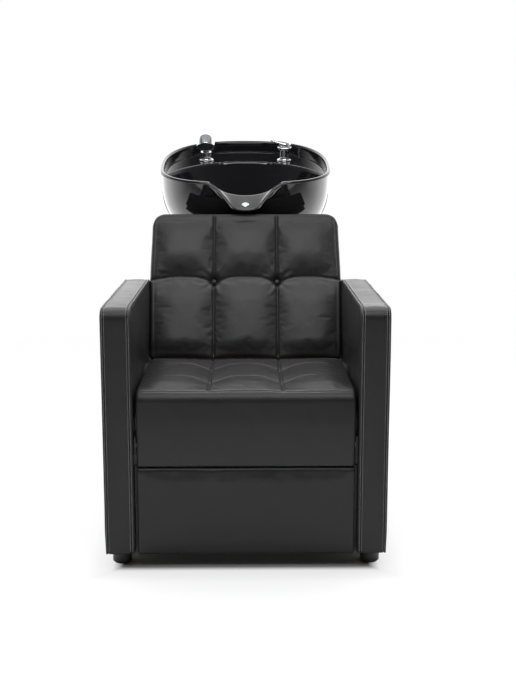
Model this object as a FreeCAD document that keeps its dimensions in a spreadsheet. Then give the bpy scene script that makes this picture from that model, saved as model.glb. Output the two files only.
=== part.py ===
import FreeCAD, Part
import Sketcher
import math
import os
import re

# A salon backwash unit: an upholstered armchair joined to a cabinet that carries a tilting basin.
# Millimetres. X runs to the viewer's right, Y from the chair's front to its back, Z up from the floor.
# Depths are measured from the arms' front faces; the whole is set back so that Y = 0 is its middle.
# Basin pieces are drawn in the basin's own frame: Z = 0 is the rim plane, Y runs towards its rear.

os.makedirs("parts", exist_ok=True)
doc = FreeCAD.newDocument("HairWashingBed")

# Driving sizes, in the order of the pieces that carry them.
SIZES = {
    # Whole
    "overall_width": 680,
    "fit_gap": 0.3,
    "overrun": 5,
    # Arms
    "arm_thickness": 74,
    "arm_height": 635,
    "arm_depth": 580,
    "arm_padding": 12,
    "arm_top_padding": 20,
    "arm_front_roll": 27,
    "arm_rear_roll": 34,
    "arm_soft_edge": 5,
    "arm_pull_in": 5,
    "arm_pull_height": 55,
    # Feet
    "foot_height": 36,
    "foot_radius": 23.5,
    "foot_edge": 4,
    "foot_setback": 56,
    "foot_stud_radius": 4,
    "foot_stud_length": 25,
    # Seat
    "seat_height": 436,
    "seat_gap": 9,
    "seat_setback": 6,
    "seat_depth": 404,
    "seat_padding": 96,
    "seat_crown": 13,
    "seat_swell": 3,
    "seat_channel": 9,
    "channel_offset": 88,
    "apron_drop": 88,
    "apron_padding": 20,
    "tuft_radius": 24,
    "tuft_depth": 8,
    "board_thickness": 18,
    "board_inset": 8,
    # Lower front panel
    "panel_bottom": 33,
    "panel_joint": 3,
    "panel_padding": 8,
    "panel_board": 12,
    "cleat_width": 20,
    "cleat_depth": 26,
    # Backrest
    "back_lean": 26.6,
    "back_foot_depth": 420,
    "back_foot_height": 440,
    "back_gap": 3,
    "back_length": 422,
    "back_padding": 84,
    "back_crown": 13,
    "back_channel": 10,
    "back_row": 222,
    "back_row_dip": 12,
    "back_corner": 36,
    "back_board": 15,
    "back_cover": 5,
    "back_cover_start": 118,
    "button_radius": 9.5,
    "button_thickness": 6,
    "button_cord": 1.5,
    "dimple_radius": 32,
    "dimple_depth": 7,
    "bracket_width": 40,
    "bracket_thickness": 6,
    "bracket_reach": 105,
    "bracket_spread": 150,
    # Steel frame
    "rail_size": 40,
    "rail_wall": 2.5,
    "front_rail_setback": 50,
    "rear_rail_setback": 465,
    "side_rail_spread": 120,
    "end_plate": 4,
    "end_plate_length": 100,
    "bolt_radius": 4,
    "bolt_head": 6.5,
    "bolt_head_height": 5,
    "bolt_bite": 30,
    "bolt_clearance": 0.4,
    # Cabinet under the basin
    "cabinet_width": 330,
    "cabinet_depth": 310,
    "cabinet_front": 775,
    "cabinet_height": 638,
    "panel_thickness": 18,
    "top_opening": 150,
    "floor_foot": 8,
    "floor_foot_width": 62,
    "floor_foot_reach": 28,
    "floor_hole_radius": 5.5,
    "floor_hole_inset": 14,
    "access_gap": 2,
    "access_board": 12,
    "screw_bite": 14,
    "screw_inset": 22,
    # Tilting mount
    "tilt_angle": 14,
    "tilt_travel": 18,
    "pivot_drop": 256,
    "pivot_radius": 6,
    "running_gap": 0.05,
    "cheek_spread": 96,
    "cheek_thickness": 5,
    "cheek_flange": 40,
    "cheek_margin": 14,
    "friction_washer": 3,
    "friction_radius": 16,
    "cradle_thickness": 5,
    "cradle_inner": 50,
    "cradle_reach": 84,
    "cradle_pad": 6,
    "ear_top": 42,
    "ear_radius": 17,
    "stop_radius": 6,
    "stop_reach": 75,
    "nut_radius": 10,
    "nut_height": 8,
    # Basin
    "basin_depth_place": 864,
    "basin_rim_height": 945.8,
    "basin_half_width": 257,
    "basin_front": 202,
    "basin_rear": 295,
    "basin_depth": 210,
    "basin_wall": 13,
    "rim_width": 13,
    "bowl_floor": 196,
    "deck_depth": 38,
    "deck_front": 171,
    "deck_arc": 262,
    "deck_edge_fall": 70,
    "notch_half_top": 106,
    "notch_half_bottom": 56,
    "notch_depth": 40,
    "lip_slope": 12,
    "lip_length": 72,
    "lip_width": 120,
    "lip_thickness": 9,
    "lip_corner": 46,
    "service_width": 300,
    "service_top": 132,
    # Neck screw
    "neck_hole_inset": 25,
    "neck_washer_radius": 10,
    "neck_washer_height": 3,
    "neck_screw_radius": 3,
    "neck_screw_head": 6,
    "neck_nut_height": 5,
    # Waste
    "waste_radius": 21,
    "waste_bore": 16,
    "waste_spigot": 20,
    "waste_spigot_length": 50,
    "waste_flange": 36,
    "waste_flange_height": 3,
    "waste_gasket": 1.5,
    "waste_tail": 82,
    "waste_nut_radius": 31,
    "waste_nut_height": 12,
    "waste_slot_length": 24,
    "waste_slot_width": 4,
    "waste_slot_pitch": 8,
    # Taps on the deck
    "tap_spread": 125,
    "tap_depth": 192,
    "tap_shank": 10,
    "tap_nut_radius": 17,
    "tap_nut_height": 8,
    "mixer_flange": 24.5,
    "mixer_flange_height": 7,
    "mixer_column": 16.5,
    "mixer_height": 34,
    "mixer_cap_radius": 22,
    "mixer_cap_height": 22,
    "lever_length": 60,
    "lever_width": 18,
    "lever_thickness": 8,
    "lever_pin": 2.5,
    "lever_root": 5.5,
    "lever_slot": 14,
    "collar_flange": 24.5,
    "collar_flange_height": 8,
    "collar_column": 17,
    "collar_height": 27,
    "collar_bore": 12.5,
    "collar_shank": 16,
    "grip_radius": 11.5,
    "grip_below": 105,
    "grip_above": 60,
    "head_radius": 28.5,
    "head_length": 34,
    "head_angle": 49,
    "head_forward": 22,
    "head_rise": 63,
    "face_radius": 25.5,
    "face_depth": 3,
    "hose_nut_radius": 9,
    "hose_nut_height": 16,
}

# Sizes that follow from the driving ones, as formulas in the sheet.
DERIVED_SIZES = {
    "seat_width": "overall_width - 2 * (arm_thickness + seat_gap)",
    "back_width": "overall_width - 2 * (arm_thickness + back_gap)",
}

# Shares of a cushion pad's length, and of its full crown, at each cross-section of its loft.
PLAIN_ROW_SHARES = ((0.0, 0.25), (0.12, 0.8), (0.5, 1.0), (0.88, 0.9), (1.0, 0.5))
LOWER_ROW_SHARES = ((0.0, 0.5), (0.25, 0.95), (0.55, 1.0), (0.85, 0.75), (1.0, 0.15))
UPPER_ROW_SHARES = ((0.0, 0.15), (0.15, 0.75), (0.5, 1.0), (0.8, 0.8), (1.0, 0.3))
# Shares of the seat's depth at which its channels are sewn down.
TUFT_ROW_SHARES = (0.3, 0.68)
# Shares of the basin's depth at which its outline is drawn, and the fullness of its section.
BASIN_LEVEL_SHARES = (0.0, 0.35, 0.6, 0.8, 0.92, 1.0)
BASIN_FULLNESS_SHARE = 1.05
DECK_ARC_SHARE = 0.9
# Shares of the bowl's depth, and of the rim's outline that is left there.
BOWL_ROW_SHARES = ((0.0, 1.0), (0.3, 0.985), (0.55, 0.935), (0.76, 0.83), (0.9, 0.66), (1.0, 0.4))
OUTLINE_POWERS = {"front": 2.9, "rear": 2.45}
SECTION_POWER = 3.0
OUTLINE_POINTS = 24

sheet = doc.addObject("Spreadsheet::Sheet", "Sizes")
named = []


def write_size(name, content):
    """Name the sheet's next row, and give it a number or a formula of the sizes above."""
    named.append(name)
    row = len(named)
    sheet.set(f"A{row}", name)
    sheet.set(f"B{row}", str(content))
    sheet.setAlias(f"B{row}", name)


for name, number in SIZES.items():
    write_size(name, number)
for name, formula in DERIVED_SIZES.items():
    write_size(name, f"={formula}")
doc.recompute()

ruler = doc.addObject("App::FeaturePython", "Ruler")


def bound(text):
    """An expression of size names, as one that reads the sheet."""
    return re.sub(r"[A-Za-z_]\w*", lambda word: "Sizes." * (word.group() in named) + word.group(), text)


def value(text):
    """The number that an expression of size names comes to."""
    result = ruler.evalExpression(bound(text))
    return float(getattr(result, "Value", result))


def basin_outline_points(half, front, rear):
    """Points evenly round the basin's plan outline: a squared ellipse, longer and rounder behind."""
    points = []
    for step in range(OUTLINE_POINTS):
        angle = 2 * math.pi * step / OUTLINE_POINTS
        across, along = math.cos(angle), math.sin(angle)
        power = OUTLINE_POWERS["rear" if along > 0 else "front"]
        reach = (abs(across) ** power + abs(along) ** power) ** (-1 / power)
        points.append((half * across * reach, (rear if along > 0 else front) * along * reach))
    return points


def basin_narrowing(depth):
    """How much of the rim's outline is left at a depth below the rim."""
    full_depth = value("basin_depth") * BASIN_FULLNESS_SHARE
    return (1 - (depth / full_depth) ** SECTION_POWER) ** (1 / SECTION_POWER)


def rear_overhang():
    """How far the tilted basin's rear reaches behind its widest line."""
    tilt = math.radians(value("tilt_angle"))
    levels = [value("basin_depth") * share for share in BASIN_LEVEL_SHARES]
    rear = value("basin_rear")
    return max(rear * basin_narrowing(level) * math.cos(tilt) + level * math.sin(tilt) for level in levels)


# Half the whole depth, written to the sheet so that every placement reads it.
write_size("middle_setback", round((value("basin_depth_place") + rear_overhang()) / 2, 3))
doc.recompute()

# Places that follow from the driving sizes.
ARM_INNER = "(overall_width / 2 - arm_thickness)"
ARM_MIDDLE = "(overall_width / 2 - arm_thickness / 2)"
SEAT_UNDERSIDE = "(seat_height - seat_padding)"
RAIL_TOP = "(seat_height - seat_padding - board_thickness)"
RAIL_BOTTOM = f"({RAIL_TOP} - rail_size)"
APRON_BOTTOM = "(seat_height - seat_padding - apron_drop)"
PANEL_TOP = f"({APRON_BOTTOM} - panel_joint)"
BACK_ORIGIN_DEPTH = "(back_foot_depth + cos(back_lean) * back_padding)"
BACK_ORIGIN_HEIGHT = "(back_foot_height - sin(back_lean) * back_padding)"
SIDE_RAIL_END = "(cabinet_front - end_plate)"
CABINET_TOP_UNDERSIDE = "(cabinet_height - panel_thickness)"
PIVOT_DEPTH = "(basin_depth_place + sin(tilt_angle) * pivot_drop)"
PIVOT_HEIGHT = "(basin_rim_height - cos(tilt_angle) * pivot_drop)"
CRADLE_TOP = "(basin_depth + cradle_pad)"
STOP_RISE = f"(pivot_drop - {CRADLE_TOP} - cradle_thickness - stop_radius - fit_gap)"

DENT_FLOOR = (f"(back_padding - back_crown - back_row_dip + back_crown * {LOWER_ROW_SHARES[-1][1]}"
              " - back_channel / 2 - dimple_depth)")
BUTTON_SEAT = f"({DENT_FLOOR} + dimple_depth * button_radius / dimple_radius + fit_gap)"

nodes = []


def node(item, label):
    """Keep a finished sub-part under the name of its node."""
    item.Label = label
    nodes.append((label, item))
    return item


def set_place(item, x="0", y="0", z="0"):
    """Place a sub-part in the whole, its depth measured from the arms' front."""
    item.setExpression("Placement.Base.x", bound(x))
    item.setExpression("Placement.Base.y", bound(f"{y} - middle_setback"))
    item.setExpression("Placement.Base.z", bound(z))


def new_body(label, alone=True):
    """An empty body that becomes a node, alone or later with its like."""
    body = doc.addObject("PartDesign::Body", label)
    return node(body, label) if alone else body


def new_sketch(body, plane, lift="0"):
    """A sketch on one of the body's own origin planes, lifted along the plane's normal."""
    sketch = body.newObject("Sketcher::SketchObject", f"{body.Name}_sketch")
    support = next(item for item in body.Origin.OriginFeatures if item.Role == plane)
    sketch.AttachmentSupport = (support, [""])
    sketch.MapMode = "FlatFace"
    sketch.setExpression("AttachmentOffset.Base.z", bound(lift))
    return sketch


def pin_point(sketch, curve, end, x, y):
    """Hold one end of a curve at a place written in size names."""
    for kind, text, axis in (("DistanceX", x, -2), ("DistanceY", y, -1)):
        if text == "0":
            sketch.addConstraint(Sketcher.Constraint("PointOnObject", curve, end, axis))
        else:
            index = sketch.addConstraint(Sketcher.Constraint(kind, -1, 1, curve, end, value(text)))
            sketch.setExpression(f"Constraints[{index}]", bound(text))


def arc_through(start, finish, radius, side):
    """An anticlockwise arc between two points, its middle to the run's left (1) or right (-1)."""
    middle = (start + finish) / 2
    run = finish - start
    half = run.Length / 2
    normal = FreeCAD.Vector(-run.y, run.x, 0).normalize() * side
    centre = middle - normal * math.sqrt(max(radius ** 2 - half ** 2, 0))
    crown = centre + normal * radius
    return Part.Arc(finish, crown, start) if side > 0 else Part.Arc(start, crown, finish)


def draw_outline(sketch, points):
    """A closed outline. A point is (x, y), or (x, y, radius, side) where an arc leads to it."""
    places = [FreeCAD.Vector(value(point[0]), value(point[1]), 0) for point in points]
    ends = []
    for index, point in enumerate(points):
        start, finish = places[index - 1], places[index]
        if len(point) == 2:
            curve = sketch.addGeometry(Part.LineSegment(start, finish))
            ends.append((curve, 1, 2))
            continue
        curve = sketch.addGeometry(arc_through(start, finish, value(point[2]), point[3]))
        ends.append((curve, 2, 1) if point[3] > 0 else (curve, 1, 2))
        radius = sketch.addConstraint(Sketcher.Constraint("Radius", curve, value(point[2])))
        sketch.setExpression(f"Constraints[{radius}]", bound(point[2]))
    for index, point in enumerate(points):
        curve, start, finish = ends[index]
        following = ends[(index + 1) % len(points)]
        sketch.addConstraint(Sketcher.Constraint("Coincident", curve, finish, following[0], following[1]))
        pin_point(sketch, curve, finish, point[0], point[1])


def draw_rectangle(sketch, left, bottom, right, top):
    """A rectangle between two corners."""
    draw_outline(sketch, [(left, bottom), (right, bottom), (right, top), (left, top)])


def draw_circle(sketch, x, y, radius):
    """A circle about a place."""
    centre = FreeCAD.Vector(value(x), value(y), 0)
    curve = sketch.addGeometry(Part.Circle(centre, FreeCAD.Vector(0, 0, 1), value(radius)))
    index = sketch.addConstraint(Sketcher.Constraint("Radius", curve, value(radius)))
    sketch.setExpression(f"Constraints[{index}]", bound(radius))
    pin_point(sketch, curve, 3, x, y)


def add_pad(body, sketch, length, middle=False, reverse=False):
    """Material of the sketch's outline, to one side or evenly about its plane."""
    pad = body.newObject("PartDesign::Pad", f"{body.Name}_pad")
    pad.Profile = sketch
    pad.SideType = "Symmetric" if middle else "One side"
    pad.Reversed = reverse
    pad.setExpression("Length", bound(length))
    body.Tip = pad
    return pad


def add_pocket(body, sketch, length, middle=False, reverse=False):
    """A cut of the sketch's outline, which must take material away."""
    doc.recompute()
    before = body.Shape.Volume
    pocket = body.newObject("PartDesign::Pocket", f"{body.Name}_pocket")
    pocket.Profile = sketch
    pocket.SideType = "Symmetric" if middle else "One side"
    pocket.Reversed = reverse
    pocket.setExpression("Length", bound(length))
    body.Tip = pocket
    doc.recompute()
    if not body.Shape.Volume < before:
        raise RuntimeError(f"{body.Name}: a cut took nothing away")
    return pocket


def add_chamfer(body, size, chosen):
    """Take off the edges that the chooser picks."""
    doc.recompute()
    base = body.Tip
    names = [f"Edge{index}" for index, edge in enumerate(base.Shape.Edges, start=1) if chosen(edge)]
    chamfer = body.newObject("PartDesign::Chamfer", f"{body.Name}_chamfer")
    chamfer.Base = (base, names)
    chamfer.setExpression("Size", bound(size))
    body.Tip = chamfer


def turned_body(label, points, alone=True):
    """A body turned about Z from a profile of (radius, height) points."""
    body = new_body(label, alone)
    sketch = new_sketch(body, "XZ_Plane")
    draw_outline(sketch, points)
    turn = body.newObject("PartDesign::Revolution", f"{label}_turn")
    turn.Profile = sketch
    turn.ReferenceAxis = (sketch, ["V_Axis"])
    turn.Angle = 360
    body.Tip = turn
    return body


def ring_body(label, radius, bore, height, alone=True):
    """A flat ring on its own origin, such as a washer."""
    body = new_body(label, alone)
    sketch = new_sketch(body, "XY_Plane")
    draw_circle(sketch, "0", "0", radius)
    draw_circle(sketch, "0", "0", bore)
    add_pad(body, sketch, height)
    return body


def nut_body(label, radius, bore, height, alone=True):
    """A hexagon nut on its own origin. The radius is to its corners."""
    body = new_body(label, alone)
    sketch = new_sketch(body, "XY_Plane")
    draw_outline(sketch, [(radius, "0"), (f"({radius}) / 2", f"({radius}) * sqrt(3) / 2"),
                          (f"-({radius}) / 2", f"({radius}) * sqrt(3) / 2"), (f"-({radius})", "0"),
                          (f"-({radius}) / 2", f"-({radius}) * sqrt(3) / 2"),
                          (f"({radius}) / 2", f"-({radius}) * sqrt(3) / 2")])
    draw_circle(sketch, "0", "0", bore)
    add_pad(body, sketch, height)
    return body


def board_body(label, width, depth, thickness):
    """A flat board, its corner at the body's origin."""
    body = new_body(label)
    sketch = new_sketch(body, "XY_Plane")
    draw_rectangle(sketch, "0", "0", width, depth)
    add_pad(body, sketch, thickness)
    return body


def bolt(name, x, y, z, direction, length):
    """A hexagon bolt. Its head's underside is at the place, and its shank runs along the direction."""
    head = doc.addObject("Part::Prism", f"{name}_head")
    head.Polygon = 6
    shank = doc.addObject("Part::Cylinder", f"{name}_shank")
    turn = FreeCAD.Rotation(FreeCAD.Vector(0, 0, 1), direction)
    for item, across, radius, height in ((head, "Circumradius", "bolt_head", "bolt_head_height"),
                                         (shank, "Radius", "bolt_radius", length)):
        item.setExpression(across, bound(radius))
        item.setExpression("Height", bound(height))
        item.Placement.Rotation = turn
    set_place(shank, x, y, z)
    set_place(head, *(f"{text} - ({way:g}) * bolt_head_height" for text, way in zip((x, y, z), direction)))
    whole = doc.addObject("Part::Fuse", name)
    whole.Base = head
    whole.Tool = shank
    return whole


def like_pieces(label, pieces):
    """Like pieces, kept together as one node of separate solids."""
    group = doc.addObject("Part::Compound", label)
    group.Links = pieces
    return node(group, label)


def shaped(label, shape):
    """A node whose form Part's own functions make."""
    item = doc.addObject("Part::Feature", label)
    item.Shape = shape
    return node(item, label)


# The cross rails' middles, and the depths at which each is bolted to the arms.
RAILS = (("front", "(front_rail_setback + rail_size / 2)"), ("rear", "(rear_rail_setback + rail_size / 2)"))
RAIL_MIDDLE = f"({RAIL_TOP} - rail_size / 2)"
BOLT_REACH = "(end_plate_length / 2 - bolt_head * 1.5)"
SCREW_HEIGHTS = ("screw_inset", f"({CABINET_TOP_UNDERSIDE} - floor_foot - screw_inset)")
SIDES = (("left", -1), ("right", 1))


def make_arm(name, side):
    """An arm: a wooden core in a padded cover that is open underneath. Its two feet are given back."""
    inner, outer = f"{side} * {ARM_INNER}", f"{side} * overall_width / 2"
    cover = new_body(f"arm_cover_{name}")
    sketch = new_sketch(cover, "YZ_Plane", f"{side} * {ARM_MIDDLE}")
    draw_outline(sketch, [
        ("0", "foot_height"),
        ("arm_depth", "foot_height"),
        ("arm_depth", "arm_height - arm_rear_roll"),
        ("arm_depth - arm_rear_roll", "arm_height", "arm_rear_roll", -1),
        ("arm_front_roll", "arm_height"),
        ("0", "arm_height - arm_front_roll", "arm_front_roll", -1),
    ])
    add_pad(cover, sketch, "arm_thickness", middle=True)
    add_chamfer(cover, "arm_soft_edge", on_arm_side)
    pull = new_sketch(cover, "XZ_Plane")
    for face, way in ((outer, 1), (inner, -1)):
        sign = side * way
        draw_outline(pull, [
            (f"{face} - {sign} * arm_pull_in", "foot_height"),
            (f"{face} + {sign} * overrun", "foot_height"),
            (f"{face} + {sign} * overrun", "foot_height + arm_pull_height"),
            (face, "foot_height + arm_pull_height"),
        ])
    add_pocket(cover, pull, "arm_depth")
    hollow = new_sketch(cover, "XY_Plane", "foot_height")
    draw_rectangle(hollow, f"{inner} + {side} * arm_padding", "arm_padding",
                   f"{outer} - {side} * arm_padding", "arm_depth - arm_padding")
    add_pocket(cover, hollow, "arm_height - arm_top_padding - foot_height", reverse=True)
    set_place(cover)

    core = new_body(f"arm_core_{name}")
    sketch = new_sketch(core, "XY_Plane", "foot_height")
    draw_rectangle(sketch, f"{inner} + {side} * arm_padding", "arm_padding",
                   f"{outer} - {side} * arm_padding", "arm_depth - arm_padding")
    add_pad(core, sketch, "arm_height - arm_top_padding - foot_height")
    studs = new_sketch(core, "XY_Plane", "foot_height")
    for depth in ("foot_setback", "arm_depth - foot_setback"):
        draw_circle(studs, f"{side} * {ARM_MIDDLE}", depth, "foot_stud_radius + fit_gap")
    add_pocket(core, studs, "foot_stud_length + overrun", reverse=True)
    set_place(core)

    for item in (cover, core):
        holes = new_sketch(item, "YZ_Plane", inner)
        for place, middle in RAILS:
            for way in (-1, 1):
                draw_circle(holes, f"{middle} + {way} * {BOLT_REACH}", RAIL_MIDDLE,
                            "bolt_radius + bolt_clearance")
        add_pocket(item, holes, "arm_padding + bolt_bite + overrun", reverse=side > 0)

    feet = []
    for place, depth in (("front", "foot_setback"), ("rear", "arm_depth - foot_setback")):
        foot = turned_body(f"arm_foot_{place}_{name}", [
            ("0", "0"),
            ("foot_radius - foot_edge", "0"),
            ("foot_radius", "foot_edge"),
            ("foot_radius", "foot_height"),
            ("foot_stud_radius", "foot_height"),
            ("foot_stud_radius", "foot_height + foot_stud_length"),
            ("0", "foot_height + foot_stud_length"),
        ], alone=False)
        set_place(foot, f"{side} * {ARM_MIDDLE}", depth)
        feet.append(foot)
    return feet


def on_arm_side(edge):
    """Whether an edge lies in one of an arm's two broad faces, off its underside."""
    box = edge.BoundBox
    return box.XLength < value("fit_gap") and box.ZMax > value("foot_height + fit_gap")


def make_frame():
    """Two square tubes between the arms and two that run back to the cabinet, with their bolts."""
    bolts = []
    for place, middle in RAILS:
        rail = new_body(f"cross_rail_{place}")
        tube = new_sketch(rail, "YZ_Plane")
        for wall in ("0", "rail_wall"):
            draw_rectangle(tube, f"{middle} - rail_size / 2 + {wall}", f"{RAIL_BOTTOM} + {wall}",
                           f"{middle} + rail_size / 2 - {wall}", f"{RAIL_TOP} - {wall}")
        add_pad(rail, tube, f"2 * ({ARM_INNER} - end_plate)", middle=True)
        for name, side in SIDES:
            plate = new_sketch(rail, "YZ_Plane", f"{side} * {ARM_INNER}")
            draw_rectangle(plate, f"{middle} - end_plate_length / 2", RAIL_BOTTOM,
                           f"{middle} + end_plate_length / 2", RAIL_TOP)
            for way in (-1, 1):
                depth = f"{middle} + {way} * {BOLT_REACH}"
                draw_circle(plate, depth, RAIL_MIDDLE, "bolt_radius + bolt_clearance")
                bolts.append(bolt(f"rail_bolt_{place}_{name}_{way + 1}",
                                  f"{side} * ({ARM_INNER} - end_plate)", depth, RAIL_MIDDLE,
                                  FreeCAD.Vector(side, 0, 0),
                                  "end_plate + arm_padding + bolt_bite"))
            add_pad(rail, plate, "end_plate", reverse=side > 0)
        set_place(rail)
    like_pieces("frame_bolts", bolts)

    for name, side in SIDES:
        rail = new_body(f"side_rail_{name}")
        centre = f"{side} * side_rail_spread"
        tube = new_sketch(rail, "XZ_Plane")
        for wall in ("0", "rail_wall"):
            draw_rectangle(tube, f"{centre} - rail_size / 2 + {wall}", f"{RAIL_BOTTOM} - rail_size + {wall}",
                           f"{centre} + rail_size / 2 - {wall}", f"{RAIL_BOTTOM} - {wall}")
        add_pad(rail, tube, f"{SIDE_RAIL_END} - front_rail_setback", reverse=True)
        plate = new_sketch(rail, "XZ_Plane", f"-({SIDE_RAIL_END} - front_rail_setback)")
        draw_rectangle(plate, f"{centre} - rail_size / 2", f"{RAIL_BOTTOM} - end_plate_length / 1.5",
                       f"{centre} + rail_size / 2", RAIL_BOTTOM)
        add_pad(rail, plate, "end_plate", reverse=True)
        set_place(rail, y="front_rail_setback")


def arc_edge(start, middle, finish):
    """An arc through three points."""
    return Part.Arc(start, middle, finish).toShape()


def pad_section(along, half, seam, floor, crown, channel):
    """A cushion's cross-section: flat below, swollen sides and three crowned pads parted by two channels."""
    groove = value("channel_offset")
    swell = value("seat_swell")
    flat = FreeCAD.Vector(0, along, 0)
    lift = FreeCAD.Vector(0, 0, 1)
    across = FreeCAD.Vector(1, 0, 0)
    low_left = flat - across * half + lift * floor
    low_right = flat + across * half + lift * floor
    high_left = flat - across * half + lift * seam
    high_right = flat + across * half + lift * seam
    groove_left = flat - across * groove + lift * (seam + crown - channel)
    groove_right = flat + across * groove + lift * (seam + crown - channel)
    outer_crown = seam + crown
    side_rise = (seam + floor) / 2
    middle = (half + groove) / 2
    edges = [
        Part.makeLine(low_left, low_right),
        arc_edge(low_right, flat + across * (half + swell) + lift * side_rise, high_right),
        arc_edge(high_right, flat + across * middle + lift * outer_crown, groove_right),
        arc_edge(groove_right, flat + lift * outer_crown, groove_left),
        arc_edge(groove_left, flat - across * middle + lift * outer_crown, high_left),
        arc_edge(high_left, flat - across * (half + swell) + lift * side_rise, low_left),
    ]
    return Part.Wire(edges)


def crowned_pad(length, half, floor, seam, crown, channel, row_shares, start=0.0, dip_start=0.0, dip_end=0.0):
    """A cushion pad lofted through its cross-sections. Its ends may dip towards a sewn row."""
    rows = []
    for place, fullness in row_shares:
        dip = dip_start if place == 0 else dip_end if place == 1 else 0
        rows.append(pad_section(start + place * length, half, seam - dip, floor, crown * fullness,
                                max(channel * fullness, 0.5 * channel)))
    return Part.makeLoft(rows, True, True)


def tuft(spot, radius, depth):
    """The dent that a sewn point pulls into a cushion, below a place on its channel."""
    foot = FreeCAD.Vector(0, 0, depth)
    return Part.makeCone(0, 2 * radius, 2 * depth, spot - foot)


def make_seat():
    """The seat: two boards on the frame, and a cushion whose apron hangs over the front one."""
    half = value("seat_width / 2")
    front, depth = value("seat_setback"), value("seat_depth")
    floor, seam = value(SEAT_UNDERSIDE), value("seat_height")
    pad = crowned_pad(depth, half - value("seat_swell"), floor, seam, value("seat_crown"),
                      value("seat_channel"), PLAIN_ROW_SHARES, start=front)
    apron_corner = FreeCAD.Vector(-half + value("seat_swell"), front, value(APRON_BOTTOM))
    apron = Part.makeBox(2 * (half - value("seat_swell")), value("apron_padding"),
                         value("apron_drop"), apron_corner)
    cushion = pad.fuse(apron)
    top = seam + value("seat_crown - seat_channel")
    for share in TUFT_ROW_SHARES:
        for side in (-1, 1):
            spot = FreeCAD.Vector(side * value("channel_offset"), front + share * depth, top)
            cushion = cushion.cut(tuft(spot, value("tuft_radius"), value("tuft_depth")))
    item = shaped("seat_cushion", cushion.removeSplitter())
    set_place(item)

    board = board_body("seat_board", "seat_width - 2 * board_inset",
                       "rear_rail_setback + rail_size - seat_setback - apron_padding", "board_thickness")
    set_place(board, "board_inset - seat_width / 2", "seat_setback + apron_padding", RAIL_TOP)
    front_board = board_body("seat_front_board", "seat_width - 2 * board_inset", "board_thickness",
                             "apron_drop - board_thickness")
    set_place(front_board, "board_inset - seat_width / 2", "seat_setback + apron_padding", APRON_BOTTOM)


def make_front_panel():
    """The fixed padded panel under the seat, on two wooden cleats."""
    height = f"{PANEL_TOP} - panel_bottom"
    cover = new_body("front_panel_cover")
    sketch = new_sketch(cover, "XY_Plane")
    draw_outline(sketch, [
        ("-seat_width / 2 + panel_padding", "0", "panel_padding", -1),
        ("seat_width / 2 - panel_padding", "0"),
        ("seat_width / 2", "panel_padding", "panel_padding", -1),
        ("seat_width / 2", "panel_padding + panel_board"),
        ("seat_width / 2 - panel_padding", "panel_padding + panel_board"),
        ("seat_width / 2 - panel_padding", "panel_padding"),
        ("-seat_width / 2 + panel_padding", "panel_padding"),
        ("-seat_width / 2 + panel_padding", "panel_padding + panel_board"),
        ("-seat_width / 2", "panel_padding + panel_board"),
        ("-seat_width / 2", "panel_padding"),
    ])
    add_pad(cover, sketch, height)
    set_place(cover, "0", "seat_setback", "panel_bottom")
    board = board_body("front_panel_board", "seat_width - 2 * panel_padding", "panel_board", height)
    set_place(board, "panel_padding - seat_width / 2", "seat_setback + panel_padding", "panel_bottom")
    cleats = []
    for name, side in SIDES:
        cleat = new_body(f"panel_cleat_{name}", alone=False)
        sketch = new_sketch(cleat, "XY_Plane")
        draw_rectangle(sketch, f"{side} * {ARM_INNER}", "0",
                       f"{side} * ({ARM_INNER} - cleat_depth)", "cleat_width")
        add_pad(cleat, sketch, height)
        set_place(cleat, "0", "seat_setback + panel_padding + panel_board", "panel_bottom")
        cleats.append(cleat)
    like_pieces("panel_cleats", cleats)


def back_place(item):
    """Lean a piece that was drawn flat: Y up the back, Z out of its front."""
    item.Placement.Rotation = FreeCAD.Rotation(FreeCAD.Vector(1, 0, 0), 90 - value("back_lean"))
    set_place(item, "0", BACK_ORIGIN_DEPTH, BACK_ORIGIN_HEIGHT)


def back_outline(sketch, inset, start="0"):
    """The backrest's face: square below, with two rounded upper corners."""
    half, top, corner = f"(back_width / 2 - {inset})", f"(back_length - {inset})", f"(back_corner - {inset})"
    draw_outline(sketch, [
        (f"-{half}", start),
        (half, start),
        (half, f"{top} - {corner}"),
        (f"{half} - {corner}", top, corner, -1),
        (f"-{half} + {corner}", top),
        (f"-{half}", f"{top} - {corner}", corner, -1),
    ])


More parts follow.
